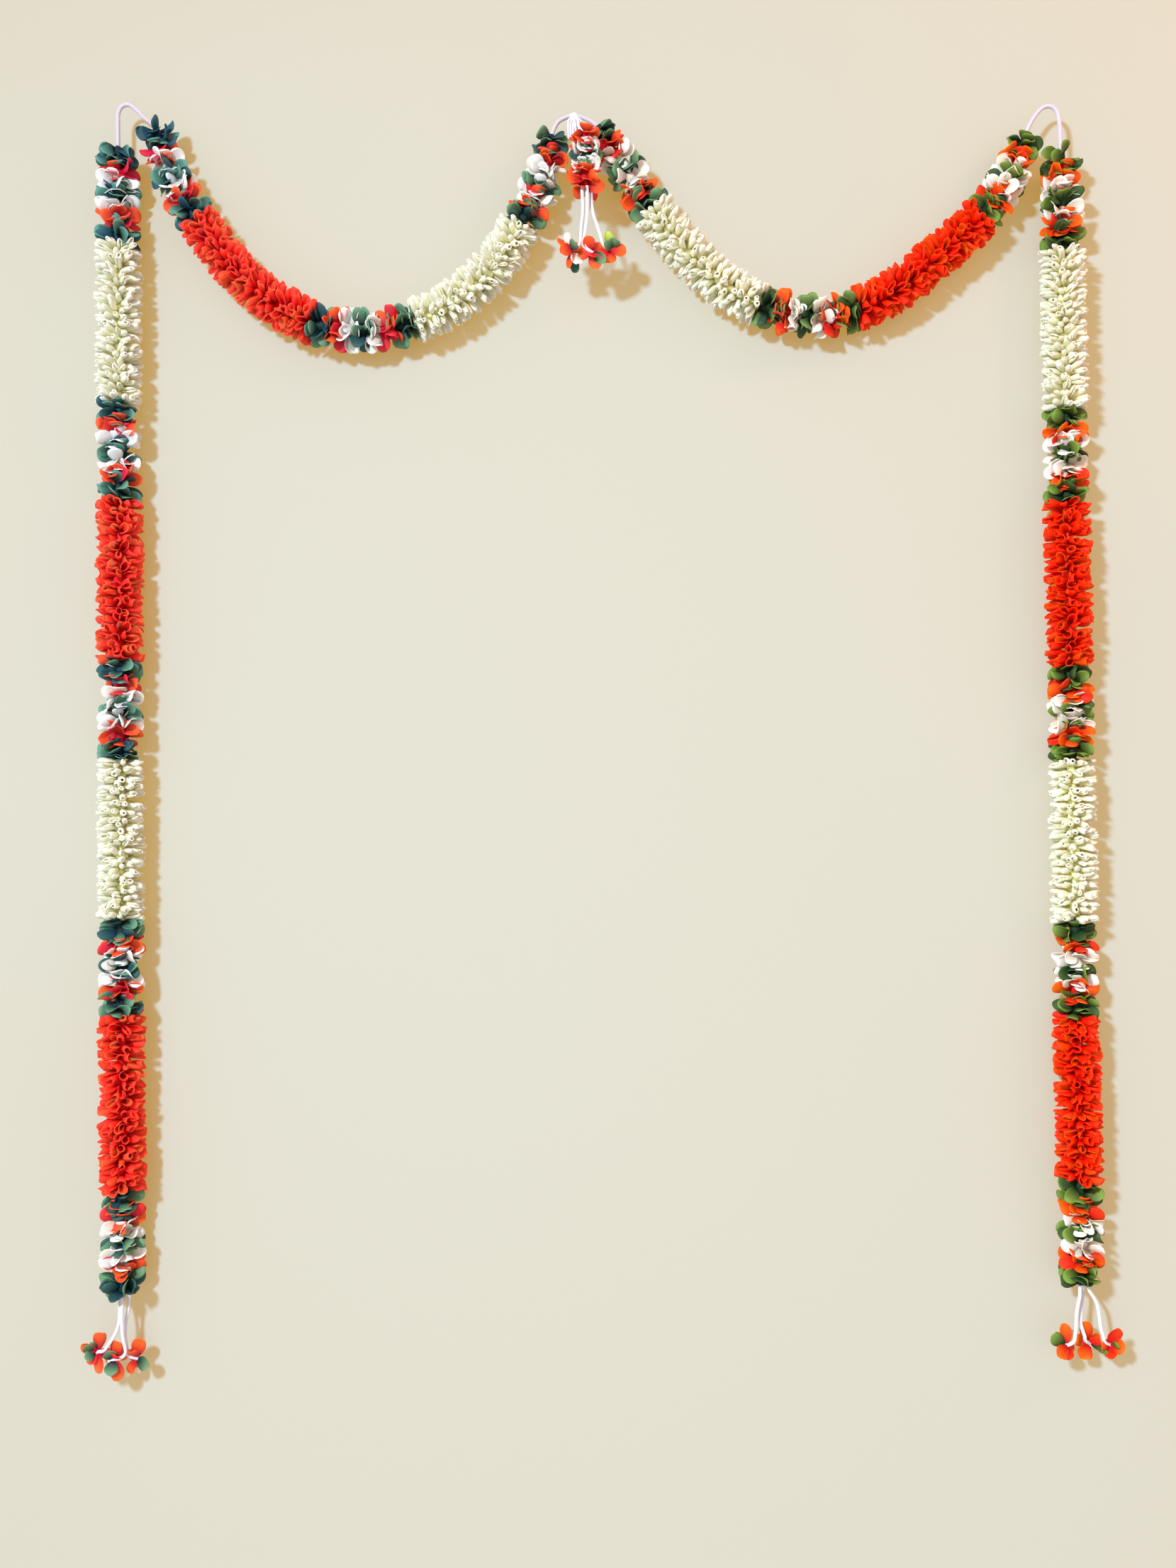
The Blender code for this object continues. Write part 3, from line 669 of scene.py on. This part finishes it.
def satin(name, lit, painted_shade, other, often, thin, cool, warm):
    """Satin with painted shade: its colour runs from the shaded colour at the root to lit at
    the rim. other is the odd petal's dye, and often is the share of petals that have it.
    thin is how much light goes through. The colour is also tinted from cool at the upper
    left to warm at the right and the foot, a painted tint of the lamps' light."""
    finish = Finish(name, Specular_IOR_Level=0.14, Subsurface_Weight=thin,
                    Subsurface_Radius=(1.0, 0.9, 0.8), Subsurface_Scale=0.005)
    along, petal, across = (finish.value(key) for key in ("along", "petal", "across"))
    flat = finish.node("ShaderNodeUVMap", {"uv_map": "cloth"})
    ribbon = finish.node("ShaderNodeSeparateXYZ", {}, {0: flat})
    length = Field(finish, ribbon.socket.node.outputs[1])
    sine = lambda field: finish.node("ShaderNodeMath", {"operation": "SINE"}, {0: field})
    warp = sine(ribbon * THREADS)
    weft = sine(length * THREADS * 0.6)
    streaks = finish.noise(9.0, flat)
    # Painted shade: the share of the lit colour grows from the root out, so the root is darker
    depth = finish.clamp(along ** 1.4 * 1.2 + (streaks - 0.5) * 0.30)
    dye = finish.mix(depth, painted_shade, lit)
    odd = finish.node("ShaderNodeMath", {"operation": "LESS_THAN"}, {0: petal, 1: often})
    dye = finish.mix(odd * 0.75, dye, other)
    shade = 0.86 + petal * 0.18 + across * along * 0.06
    shade = finish.node("ShaderNodeCombineColor", {}, {0: shade, 1: shade, 2: shade})
    dye = finish.mix(1.0, dye, shade, "MULTIPLY")
    right = finish.node("ShaderNodeSeparateXYZ", {},
                        {0: finish.node("ShaderNodeTexCoord", output=3)})
    height = Field(finish, right.socket.node.outputs[2])
    # Painted tint of the lamps' light: cooler at the upper left, warmer at the right and low
    # down
    lamp_tint = finish.clamp((right + 0.45) * 1.1 - height * 0.42)
    dye = finish.mix(1.0, dye, finish.mix(lamp_tint, cool, warm), "MULTIPLY")
    finish.drive(Base_Color=dye, Roughness=ROUGHNESS + streaks * 0.16 + warp * 0.02)
    return finish.relief(warp * 0.6 + weft * 0.3 + streaks * 1.5, 0.35, 0.00012).material


# Each dye: its lit colour, the painted shade at the root, the odd petals' dye and their share,
# how much light goes through, and the painted lamp tint on the cool and the warm side
SATINS = {
    "cream": ((1, 1, 0.82), (1, 1, 0.54), (1, 1, 0.70), 0.40, 0.7, (1, 1, 1), (1, 0.96, 0.88)),
    "red": ((1, 0.048, 0.008), (0.70, 0.001, 0.006), (1, 0.13, 0.012), 0.25, 0.4,
            (1, 0.8, 3), (0.94, 0.34, 0.10)),
    "green": ((0.165, 0.310, 0.125), (0.002, 0.013, 0.014), (0.006, 0.042, 0.056), 0.38, 0.1,
              (0.48, 0.82, 1.70), (0.78, 0.70, 0.26)),
    "orange": ((0.92, 0.096, 0.004), (0.42, 0.001, 0.005), (0.70, 0.006, 0.010), 0.34, 0.3,
               (0.9, 0.65, 5), (0.95, 0.75, 0.3)),
    "white": ((0.93, 0.95, 0.98), (0.54, 0.50, 0.44), (0.80, 0.66, 0.56), 0.12, 0.5,
              (0.90, 0.97, 1.02), (0.96, 0.89, 0.76)),
    "lime": ((0.42, 0.58, 0.06), (0.10, 0.22, 0.02), (0.42, 0.58, 0.06), 0, 0.3,
             (1, 1, 1), (1, 1, 1)),
}
finishes = {dye: satin(f"{dye} satin", *look) for dye, look in SATINS.items()}
print("satin:", ", ".join(finishes))

# %% [markdown]
# ## Making the strands
#
# The sections are made in order along each strand, with a seed of their own, so that one
# can be changed without reshuffling the rest. The rings near the hooks are smaller, as
# the cord pulls them tight, and the outermost ones lean as they were pushed by hand.

# %% All sections
WHOLE = (1,) * 7
# The bands next to a hook or a foot: each ring's reach, and the lean of its two ends
PUSHED = {
    ("left_drop", 1): ((0.94, 0.94, 0.97, 1, 1, 1, 1), (-0.10, 0)),
    ("left_drop", 5): (WHOLE, (0, -0.15)),
    ("right_drop", 1): ((0.94, 0.94, 0.97, 1, 1, 1, 1), (0.03, 0)),
    ("right_drop", 5): (WHOLE, (0, -0.15)),
    ("left_swag", 1): ((0.90, 0.92, 0.95, 0.98, 1, 1, 1), (0.06, 0)),
    ("left_swag", 3): ((1, 1, 1, 0.95, 0.91, 0.87, 0.82), (0, -0.10)),
    ("right_swag", 1): ((0.92, 0.88, 0.91, 0.96, 1, 1, 1), (0.45, 0)),
    ("right_swag", 3): ((1, 1, 1, 0.95, 0.91, 0.87, 0.85), (0, -0.10)),
}
petals_made = 0
for seed, (label, (order, lengths)) in enumerate(STRANDS.items()):
    route, first = routes[label]
    edges = first + running_sum(lengths)
    numbers = {"band": 0, "cream": 0, "red": 0}
    for step, (kind, a, b) in enumerate(zip(order, edges[:-1], edges[1:])):
        numbers[kind] += 1
        node = f"{label}_{kind}_{numbers[kind]}"
        rng = np.random.default_rng([seed, step])
        if kind == "band":
            reaches, ends = PUSHED.get((label, numbers[kind]), (WHOLE, (0, 0)))
            piece = band(f"satin_{node}", route, a, b, RING_ORDER, reaches, ends, finishes, rng)
        else:
            piece, count = rolled_section(f"satin_{node}", route, a, b, kind, finishes, rng)
            petals_made += count
        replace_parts(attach(piece, "root"), node)
        "green" if kind == "band" else kind
print(petals_made, "rolled petals")

# %% The pendant's five rings
piece = band("satin_centre_pendant", pendant, pendant_start, pendant.length, PENDANT_ORDER,
             (0.80, 0.56, 0.74, 0.60, 0.92), (-0.35, 0.30), finishes,
             np.random.default_rng(21), (1.1, 0.6, 0.9, 0.6, 1.8))
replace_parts(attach(piece, "root"), "centre_pendant")

# %% [markdown]
# ## Cotton cord
#
# The cord is soft white cotton, three plies twisted together. A smooth tube would look
# like plastic, so the tube's radius itself has three grooves that wind along it. The same
# function makes the thick main cord and the tassels' thin strands, and swells at a knot.

# %% A twisted cord as a formula
PLIES = 3


def twisted_cord(name, runs, finish, lay=0.011, sides=18):
    """Closed twisted tubes, one for each run of path, radius and swells.

    At each place the radius is the cord's radius times its swell, less a shallow groove
    between the plies. The groove is a sine of the plies times the angle, turned once round
    every lay. The directions across are carried along the path without turning.
    """
    heap = Heap()
    angle = ring_angles(sides)
    for path, radius, swells in runs:
        along = unit(np.gradient(path, axis=0))
        side = np.empty_like(path)
        start = FRONT if abs(along[0] @ FRONT) < 0.9 else UP
        before = unit(np.cross(along[0], start))
        for step, ahead in enumerate(along):
            before = unit(before - (before @ ahead) * ahead)
            side[step] = before
        front = np.cross(side, along)
        run = distances_along(path)[:, None]
        groove = np.abs(np.sin(0.5 * PLIES * (angle - 2 * np.pi * run / lay))) ** 0.6
        reach = radius * swells[:, None] * (0.965 + 0.045 * groove)
        points, faces, cloth = tube(path, side, front, reach, radius, run)
        heap.put(points, faces, (False, False), cloth, 0, groove=groove.ravel())
    return heap.finish(name, [finish])


# %% The cotton finish
def cotton(name, lit, painted_shade):
    """Matt cotton with painted shade in the grooves, and fine fibres."""
    finish = Finish(name, Sheen_Weight=0.2, Sheen_Roughness=0.6, Specular_IOR_Level=0.2)
    groove = finish.value("groove")
    fibres = finish.noise(1400.0)
    # Painted shade: the colour darkens between the plies, by the groove's depth
    tone = finish.clamp(groove ** 1.5 + (fibres - 0.5) * 0.5)
    dye = finish.mix(tone, painted_shade, lit)
    finish.drive(Base_Color=dye, Roughness=0.78 + fibres * 0.2)
    return finish.relief(fibres, 0.5, 0.0002).material


# The main cord's cotton is darker than the strands': painted shade, for it hangs in shade
finishes["cord"] = cotton("shaded cotton", (0.50, 0.46, 0.55), (0.42, 0.38, 0.47))
finishes["strand"] = cotton("white cotton", (0.66, 0.64, 0.73), (0.55, 0.53, 0.64))

# %% The main cord
CORD_RADIUS = 0.0022
KNOT = 0.0060
KNOT_STATIONS = 15
DROP_STATIONS = 100
# From station to station on the bare cord and inside petals, and how far the short steps
# go on into the petals
BARE_STEP = 0.0009
HIDDEN_STEP = 0.012
OVERLAP = 0.012


def knot_run(foot):
    """Points and swells of a knot under a strand's last ring, from the top down."""
    drops = np.linspace(0.0004, KNOT, KNOT_STATIONS)
    swells = 1.0 + 0.5 * np.sin(np.pi * np.clip((drops / KNOT - 0.08) / 0.92, 0, 0.85)) ** 0.6
    return foot - drops[:, None] * UP, swells


left_end = left_start + sum(STRANDS["left_swag"][1])
right_end = right_start + sum(STRANDS["right_swag"][1])
stretches = ((0.0, left_start + OVERLAP, BARE_STEP),
             (left_end - OVERLAP, right_start + OVERLAP, BARE_STEP),
             (right_end - OVERLAP, upper.length, BARE_STEP),
             (left_start, left_end, HIDDEN_STEP), (right_start, right_end, HIDDEN_STEP))
upper_path = upper.at(np.unique(np.concatenate([np.arange(*stretch) for stretch in stretches])))
left_foot = routes["left_drop"][0].points[-1]
right_foot = routes["right_drop"][0].points[-1]
left_knot, left_swells = knot_run(left_foot)
right_knot, right_swells = knot_run(right_foot)
left_path = np.linspace(left_foot, upper_path[0], DROP_STATIONS)[1:-1]
right_path = np.linspace(upper_path[-1], right_foot, DROP_STATIONS)[1:-1]
path = np.vstack([left_knot[::-1], left_path, upper_path, right_path, right_knot])
even = np.ones(len(path) - 2 * KNOT_STATIONS)
swells = np.concatenate([left_swells[::-1], even, right_swells])
piece = twisted_cord("cotton_main_cord", [(path, CORD_RADIUS, swells)], finishes["cord"])
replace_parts(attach(piece, "root"), "main_cord")
print(f"main cord {distances_along(path)[-1]:.3f} m")

# %% The pendant's cord, knotted over the main cord in a bunch of loops
LOOP_RADIUS = 0.0014
STRIP_RADIUS = 0.0019


def even_run(points, count, radius):
    """A run of cord through points in mm, equally thick all along."""
    return route_mm(points).spread(count), radius, np.ones(count)


loop_path = route_mm([(-4, -7, 0.8), (1.5, -7.8, 0.4), (4.8, -9.6, -5), (6, -13.5, -14),
                      (9, -22, -22.5), (12.8, -30.5, -30)])
stations = np.linspace(0.0, loop_path.length, 60)
knot_swells = 0.85 + 0.6 * np.exp(-((stations - 0.005) / 0.0035) ** 2)
inside = pendant.at(np.arange(pendant_start + 0.004, pendant.length, 0.006))
foot_path, foot_swells = knot_run(pendant.points[-1])
runs = [(np.vstack([loop_path.at(stations), inside, foot_path]), CORD_RADIUS,
         np.concatenate([knot_swells, np.ones(len(inside)), foot_swells]))]
# Each loop in mm: its left and right leg, its top, its depth and how low its two legs end
LOOPS = ((-5.6, 8.2, -1, -7.5, -23.5, -18), (-3, 5, -3.5, -9.8, -25, -20),
         (-0.4, 2.2, -6, -11.8, -24, -21.5))
for left, far, high, depth, low, low_far in LOOPS:
    points = [(left + 0.6, depth + 3, low), (left, depth, (low + high) / 2),
              (left + 0.8, depth, high - 3), ((left + far) / 2, depth - 0.6, high),
              (far - 0.8, depth, high - 3), (far, depth, (low_far + high) / 2),
              (far + 0.8, depth + 3, low_far)]
    runs.append(even_run(points, 50, LOOP_RADIUS))
strip = [(6.2, -8.5, -10), (10.5, -9, -14), (16, -8, -18), (23, -5, -22)]
runs.append(even_run(strip, 30, STRIP_RADIUS))
piece = twisted_cord("cotton_pendant_cord", runs, finishes["strand"])
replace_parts(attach(piece, "root"), "pendant_cord")

# %% [markdown]
# ## The tassels
#
# Under the last ring of each drop, and under the pendant, three strands hang free. Each
# goes through a small blossom of flat oval petals, most of them orange and one or two
# dark green, and ends in a knot beside it. No two blossoms are alike, because each petal
# has been pushed about by hand. So each one here has its own aim: the way its tip points
# in the picture, how far it tips out of the wall, and its turn about its own middle.

# %% Where the strands and blossoms are
STRAND_RADIUS = 0.0018
STRAND_BEND = 0.0085
STRAND_LEAD = 0.0040
TAIL = 0.0092
# Each strand, in mm from the foot of the last ring: the places that it falls through and
# its blossom's centre, then its heading, its dip and its lean in degrees
TASSELS = {
    "left_tassel": (left_foot, (
        (((-4.9, 3.5, -0.4), (-4.9, 3.5, -3), (-4.4, 2, -10), (-3.2, -1, -19),
          (-3, -4.4, -30), (-6.2, -7.2, -40)), (-24.5, -5, -58.8), -110, 10, 35),
        (((1, -5.9, -0.4), (1, -5.9, -3), (1.3, -6.4, -10), (1.3, -7.3, -19),
          (1.6, -7.6, -30), (2.4, -7, -42)), (-6.4, -3.4, -67.5), -95, 12, 0),
        (((5.2, 3, -0.4), (5.2, 3, -3), (5.3, 2.6, -10), (4.3, 1.6, -20),
          (2.4, 0.6, -32), (1.9, 0.4, -45)), (11, 5, -70.5), 120, 25, 0))),
    "centre_tassel": (pendant.points[-1], (
        (((-3.8, -5.2, -0.6), (-3.8, -5.2, -3), (-3.8, -4.6, -10), (-3.2, -3, -19),
          (-3.6, -1.4, -30), (-5, -0.3, -41)), (-14.5, 1.5, -64.9), -95, 25, 0),
        (((1.4, -6, -0.6), (1.4, -6, -3), (1.6, -5.6, -10), (1.6, -4.6, -19),
          (1.2, -3.8, -30), (-0.2, -3.6, -42)), (4.8, -1.5, -69.2), 112, 26, 0),
        (((6, 0.5, -0.4), (6, 0.5, -3), (5.8, 0.4, -10), (6.4, 0.2, -19),
          (8.4, 0, -30), (11.8, 0, -40)), (24.2, 2, -64.8), 110, 26, 0))),
    "right_tassel": (right_foot, (
        (((-3.5, -4.9, -0.4), (-3.5, -4.9, -3), (-4, -5.2, -10), (-6, -5.6, -19),
          (-8.2, -6, -30), (-8.8, -6, -41)), (-17.3, -2.5, -63.8), -110, 30, 0),
        (((3.5, 4.9, -0.4), (3.5, 4.9, -3), (3.3, 4.5, -10), (1.8, 3.2, -20),
          (-0.6, 1.4, -31), (-1.4, 0, -42)), (8, 4, -64), 130, 30, 0),
        (((6.8, -1.2, -0.4), (6.8, -1.2, -3), (9.2, -1.5, -8.5), (12.9, -2.1, -14.5),
          (15.8, -2.8, -22), (17.2, -3.6, -33), (18.2, -4, -44)),
         (28.2, 0.5, -64.8), 120, 30, 0))),
}
# Each petal: its dye, the way its tip points (0 right, 90 up), its tilt out of the wall
# and its turn about its middle in degrees, then its length and half its width in mm
BLOSSOMS = {
    "left_tassel_1": (
        ("orange", 81, 8, 12, 23, 7.4), ("orange", 147, 14, -15, 20, 7),
        ("orange", -70, 5, 10, 22, 6.6), ("orange", -20, -25, 0, 16, 6.6),
        ("red", -130, 20, 15, 14, 6), ("green", 128, 42, 0, 17, 7.8),
        ("green", -165, 45, 20, 13, 6.2)),
    "left_tassel_2": (
        ("orange", 87, 8, -10, 21, 7.6), ("orange", -87, 10, 8, 22.5, 8.8),
        ("orange", 190, -25, 0, 16, 7), ("orange", 20, -25, 0, 17, 7.2),
        ("red", 60, 35, 0, 13, 6), ("green", -95, 42, -10, 16, 7.6),
        ("green", 98, 42, 10, 15, 7.2)),
    "left_tassel_3": (
        ("orange", 75, 6, 0, 23.5, 8), ("orange", 115, 40, -15, 18, 7.4),
        ("orange", -121, 12, 20, 18, 5.8), ("orange", 165, -30, 0, 15, 6.8),
        ("orange", -60, -25, 0, 16, 6.6), ("green", -20, 18, 8, 17, 8.8)),
    "centre_tassel_1": (
        ("orange", 151, 5, 35, 20, 6), ("orange", -159, 22, -15, 17, 7.2),
        ("orange", -110, 8, 50, 21, 6.4), ("white", 97, 8, 20, 20, 5.8),
        ("white", -66, 10, -25, 22, 6.2), ("orange", 30, -20, 0, 17, 6.6),
        ("green", 40, 55, 0, 14, 6.6), ("green", -76, -12, 15, 23, 5.4)),
    "centre_tassel_2": (
        ("orange", 118, 18, 10, 17, 7.4), ("red", -110, 50, 0, 16, 7.6),
        ("orange", -67, 12, 12, 21, 7.6), ("orange", 170, -20, 0, 18, 7.2),
        ("orange", 50, -25, 0, 17, 7), ("green", -38, 8, 20, 21, 6.2)),
    "centre_tassel_3": (
        ("lime", 100, 12, 10, 18, 5.8), ("orange", -16, 10, -10, 20, 7.6),
        ("orange", -85, 10, 0, 18, 7.2), ("red", -150, 25, 0, 16, 7),
        ("green", 60, 40, 0, 14, 6.2), ("green", 150, 30, 0, 14, 6.2)),
    "right_tassel_1": (
        ("orange", -147, 14, 5, 17.5, 8.2), ("orange", 80, -20, 0, 22, 7),
        ("orange", -40, -25, 0, 15, 6.8), ("red", -90, 20, 0, 14, 6.8),
        ("green", 139, 20, 5, 21, 7.8)),
    "right_tassel_2": (
        ("orange", 100, 4, 8, 22.5, 8), ("red", 50, 45, 0, 15, 7),
        ("orange", -122, 14, -5, 18.5, 9.8), ("orange", 10, -25, 0, 16, 7),
        ("orange", 165, -20, 0, 16, 7), ("green", -33, 8, 50, 21.5, 6)),
    "right_tassel_3": (
        ("orange", 71, 5, 6, 23.5, 8.2), ("orange", -8, 12, -8, 17, 8.4),
        ("orange", 150, 30, 10, 14, 6.6), ("red", -80, 5, 20, 15, 6.8),
        ("green", -125, -18, 0, 15, 6.2), ("green", 25, 50, 0, 11, 5)),
}


def strand_path(falls, centre, heading, dip, lean):
    """The strand's route into its blossom, and the direction that it goes on in."""
    angle, fall = math.radians(heading), math.radians(dip)
    across = np.array([math.sin(angle), -math.cos(angle), 0.0])
    axis = across * math.cos(fall) - UP * math.sin(fall)
    rise = across * math.sin(fall) + UP * math.cos(fall)
    hub = centre - STRAND_LEAD * axis + STRAND_BEND * rise
    turns = np.linspace(math.radians(lean), math.pi / 2 - fall, 4)
    bend = [hub - STRAND_BEND * (across * math.cos(t) + UP * math.sin(t)) for t in turns]
    return Route(list(falls) + bend + [centre]), axis


# How much of a petal's length the strand hides, how far its root stands off the strand's
# middle, the step from petal to petal along the strand, and the cloth's own size
HIDDEN_ROOT = 0.0020
PETAL_ROOT = 0.0022
PETAL_STEP = 0.0005
PETAL_CLOTH = (0.013, 0.019)
across_petal = np.linspace(-1.0, 1.0, 9)
along_petal = np.array([0.0, 0.13, 0.27, 0.42, 0.57, 0.71, 0.84, 0.94, 1.0])


def blossom(name, centre, axis, petals, seed):
    """Flat round petals with narrow roots, each at its own aim round the strand."""
    way, tilt, spin, length, width = np.array([petal[1:] for petal in petals]).T
    way, tilt, spin = np.radians((way, tilt, spin))[..., None]
    rng = np.random.default_rng(seed)
    count = len(petals)
    local = lobe_sheets(
        length / 1000 - HIDDEN_ROOT, width / 1000, rng.uniform(-0.15, 0.15, count),
        rng.uniform(-0.35, 0.35, count),
        rng.uniform(0.25, 0.7, count) * rng.choice([-1.0, 1.0], count), np.zeros(count),
        rng.uniform(0.0003, 0.0010, count), 0.34, across_petal, along_petal)
    flat = np.cos(way) * np.array([1.0, 0.0, 0.0]) + np.sin(way) * UP
    out = np.cos(tilt) * flat + np.sin(tilt) * FRONT
    face = unit(FRONT - (out @ FRONT)[:, None] * out)
    beside = np.cross(face, out)
    frames = np.stack([out, np.cos(spin) * beside + np.sin(spin) * face,
                       np.cos(spin) * face - np.sin(spin) * beside], axis=1)
    clear = unit(out - (out @ axis)[:, None] * axis)
    base = centre + PETAL_ROOT * clear + axis * (np.arange(count) * PETAL_STEP)[:, None]
    sheets = base[:, None, None, :] + np.einsum("prcx,pxk->prck", local, frames)
    heap = Heap()
    dyes = list(dict.fromkeys(petal[0] for petal in petals))
    for slot, dye in enumerate(dyes):
        same = np.array([petal[0] == dye for petal in petals])
        heap.add(sheets[same], across_petal, along_petal, PETAL_CLOTH,
                 rng.uniform(0.28, 1.0, same.sum()), slot)
    return heap.finish(name, [finishes[dye] for dye in dyes])


# %% Make the three tassels
STRAND_STATIONS = 70
# How far past a blossom's centre its sepals are
SEPAL_DROP = 0.0026
for label, (foot, strands) in TASSELS.items():
    for number, (falls, offset, heading, dip, lean) in enumerate(strands, 1):
        falls = foot + np.array(falls) / 1000
        centre = foot + np.array(offset) / 1000
        route, axis = strand_path(falls, centre, heading, dip, lean)
        far = np.linspace(0.0008, TAIL, 14)
        path = np.vstack([route.spread(STRAND_STATIONS), centre + axis * far[:, None]])
        knot = 1 + 0.7 * np.exp(-((far - 0.0068) / 0.002) ** 4)
        swells = np.concatenate([np.ones(STRAND_STATIONS), knot])
        piece = twisted_cord(f"cotton_{label}_strand_{number}",
                             [(path, STRAND_RADIUS, swells)], finishes["strand"],
                             lay=0.009, sides=14)
        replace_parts(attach(piece, "root"), f"{label}_strand_{number}")
        petals = BLOSSOMS[f"{label}_{number}"]
        for part, dye, drop, seed in (("blossom", "orange", 0.0, number),
                                      ("sepals", "green", SEPAL_DROP, number + 3)):
            own = [petal for petal in petals if (petal[0] == "green") == (dye == "green")]
            piece = blossom(f"satin_{label}_{part}_{number}", centre + drop * axis, axis, own,
                            [len(label), seed])
            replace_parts(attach(piece, "root"), f"{label}_{part}_{number}")

# %% [markdown]
# ## The studio
#
# The garland hangs on a plain cream wall, which gives off a little orange light of its own:
# a painted glow that turns the shadows on it ochre. The wall shows from its front only, so
# that the back of the garland can be looked at too. One small light to the upper left
# throws the short shadows beside each strand. It is near, so the shadows spread, but it
# doesn't weaken with distance, so the wall stays even. The sky fills the rest with a warmer
# tone, and a reddish lamp warms the upper right corner.

# %% Wall and floor
WALL_Y = 0.027
WALL_HALF = 2.4
WALL_TOP = 1.2
FLOOR_Z = -1.95
FLOOR_HALF = 4


def plane(name, corners, finish):
    """One flat square."""
    mesh = bpy.data.meshes.new(name)
    mesh.from_pydata(corners, [], [(0, 1, 2, 3)])
    mesh.materials.append(finish)
    return show(name, mesh)


# Painted glow: the wall gives off orange light of its own, which turns the shadows on it ochre,
# and its bluish base colour keeps the lit wall cream
glowing_paint = Finish("wall paint", Roughness=0.85, Base_Color=(0.184, 0.280, 0.328, 1.0),
               Emission_Color=(1.0, 0.50, 0.01, 1.0), Emission_Strength=0.42,
               Specular_IOR_Level=0.0)
clear = glowing_paint.node("ShaderNodeBsdfTransparent")
back = glowing_paint.node("ShaderNodeNewGeometry", output=6)
shown = glowing_paint.node("ShaderNodeMixShader", {},
                   {0: back, 1: Field(glowing_paint, glowing_paint.shader.outputs[0]), 2: clear})
glowing_paint.tree.links.new(shown.socket, glowing_paint.tree.nodes["Material Output"].inputs[0])
pale = Finish("pale floor", Roughness=0.8, Base_Color=(0.50, 0.49, 0.46, 1.0))
wall = plane("wall", [(-WALL_HALF, WALL_Y, FLOOR_Z), (WALL_HALF, WALL_Y, FLOOR_Z),
                      (WALL_HALF, WALL_Y, WALL_TOP), (-WALL_HALF, WALL_Y, WALL_TOP)],
             glowing_paint.material)
floor = plane("floor", [(FLOOR_HALF * x, FLOOR_HALF * y, FLOOR_Z) for x, y in
                        ((-1, -1), (1, -1), (1, 1), (-1, 1))], pale.material)

# %% Lights
def soft_light(name, spot, aim, size, power, colour):
    """A square light that looks at a point."""
    data = bpy.data.lights.new(name, "AREA")
    data.size, data.energy, data.color = size, power, colour
    lamp = show(name, data)
    lamp.location = spot
    lamp.rotation_euler = (Vector(aim) - Vector(spot)).to_track_quat("-Z", "Y").to_euler()
    lamp.visible_camera = False
    return data


# The key light looks past the far corner, which gets as much of it as the near one
key = soft_light("key light", (-1.0, -1.9, 0.20), (1.0, 0.0, -1.9), 0.22, 15.5,
                 (0.90, 1.0, 1.10))
key.use_nodes = True
steady = key.node_tree.nodes.new("ShaderNodeLightFalloff")
steady.inputs["Strength"].default_value = 1.0
key.node_tree.links.new(steady.outputs["Constant"],
                        key.node_tree.nodes["Emission"].inputs["Strength"])
soft_light("warm corner", (1.5, -0.9, 0.6), (1.3, 0.0, 0.3), 0.5, 14.0, (1.0, 0.22, 0.08))
world = bpy.data.worlds.new("studio")
world.use_nodes = True
sky = world.node_tree.nodes["Background"]
sky.inputs[0].default_value = (1.0, 0.86, 0.72, 1.0)
sky.inputs[1].default_value = 0.97
bpy.context.scene.world = world

# %% [markdown]
# ## The camera
#
# The picture was taken from chest height with a wide phone lens, tipped up one degree and
# rolled by two thirds of one. The three directions below are worked out from those angles.

# %% Camera
SPOT = (0.0078, -1.2776, -0.7493)
PITCH = math.radians(0.993)
ROLL = math.radians(-0.642)
VIEW_ANGLE = math.radians(67.3)
SENSOR = 36.0
ahead = np.array([0.0, math.cos(PITCH), math.sin(PITCH)])
over = np.array([0.0, -math.sin(PITCH), math.cos(PITCH)])
level = np.array([1.0, 0.0, 0.0])
right = math.cos(ROLL) * level + math.sin(ROLL) * over
top = -math.sin(ROLL) * level + math.cos(ROLL) * over
lens = bpy.data.cameras.new("camera")
lens.sensor_width = SENSOR
lens.lens = SENSOR / 2 / math.tan(VIEW_ANGLE / 2)
camera = show("camera", lens)
turn = np.eye(4)
turn[:3] = np.column_stack([right, top, -ahead, SPOT])
camera.matrix_world = Matrix(turn.tolist())
bpy.context.scene.camera = camera
bpy.context.scene.view_settings.view_transform = "Standard"
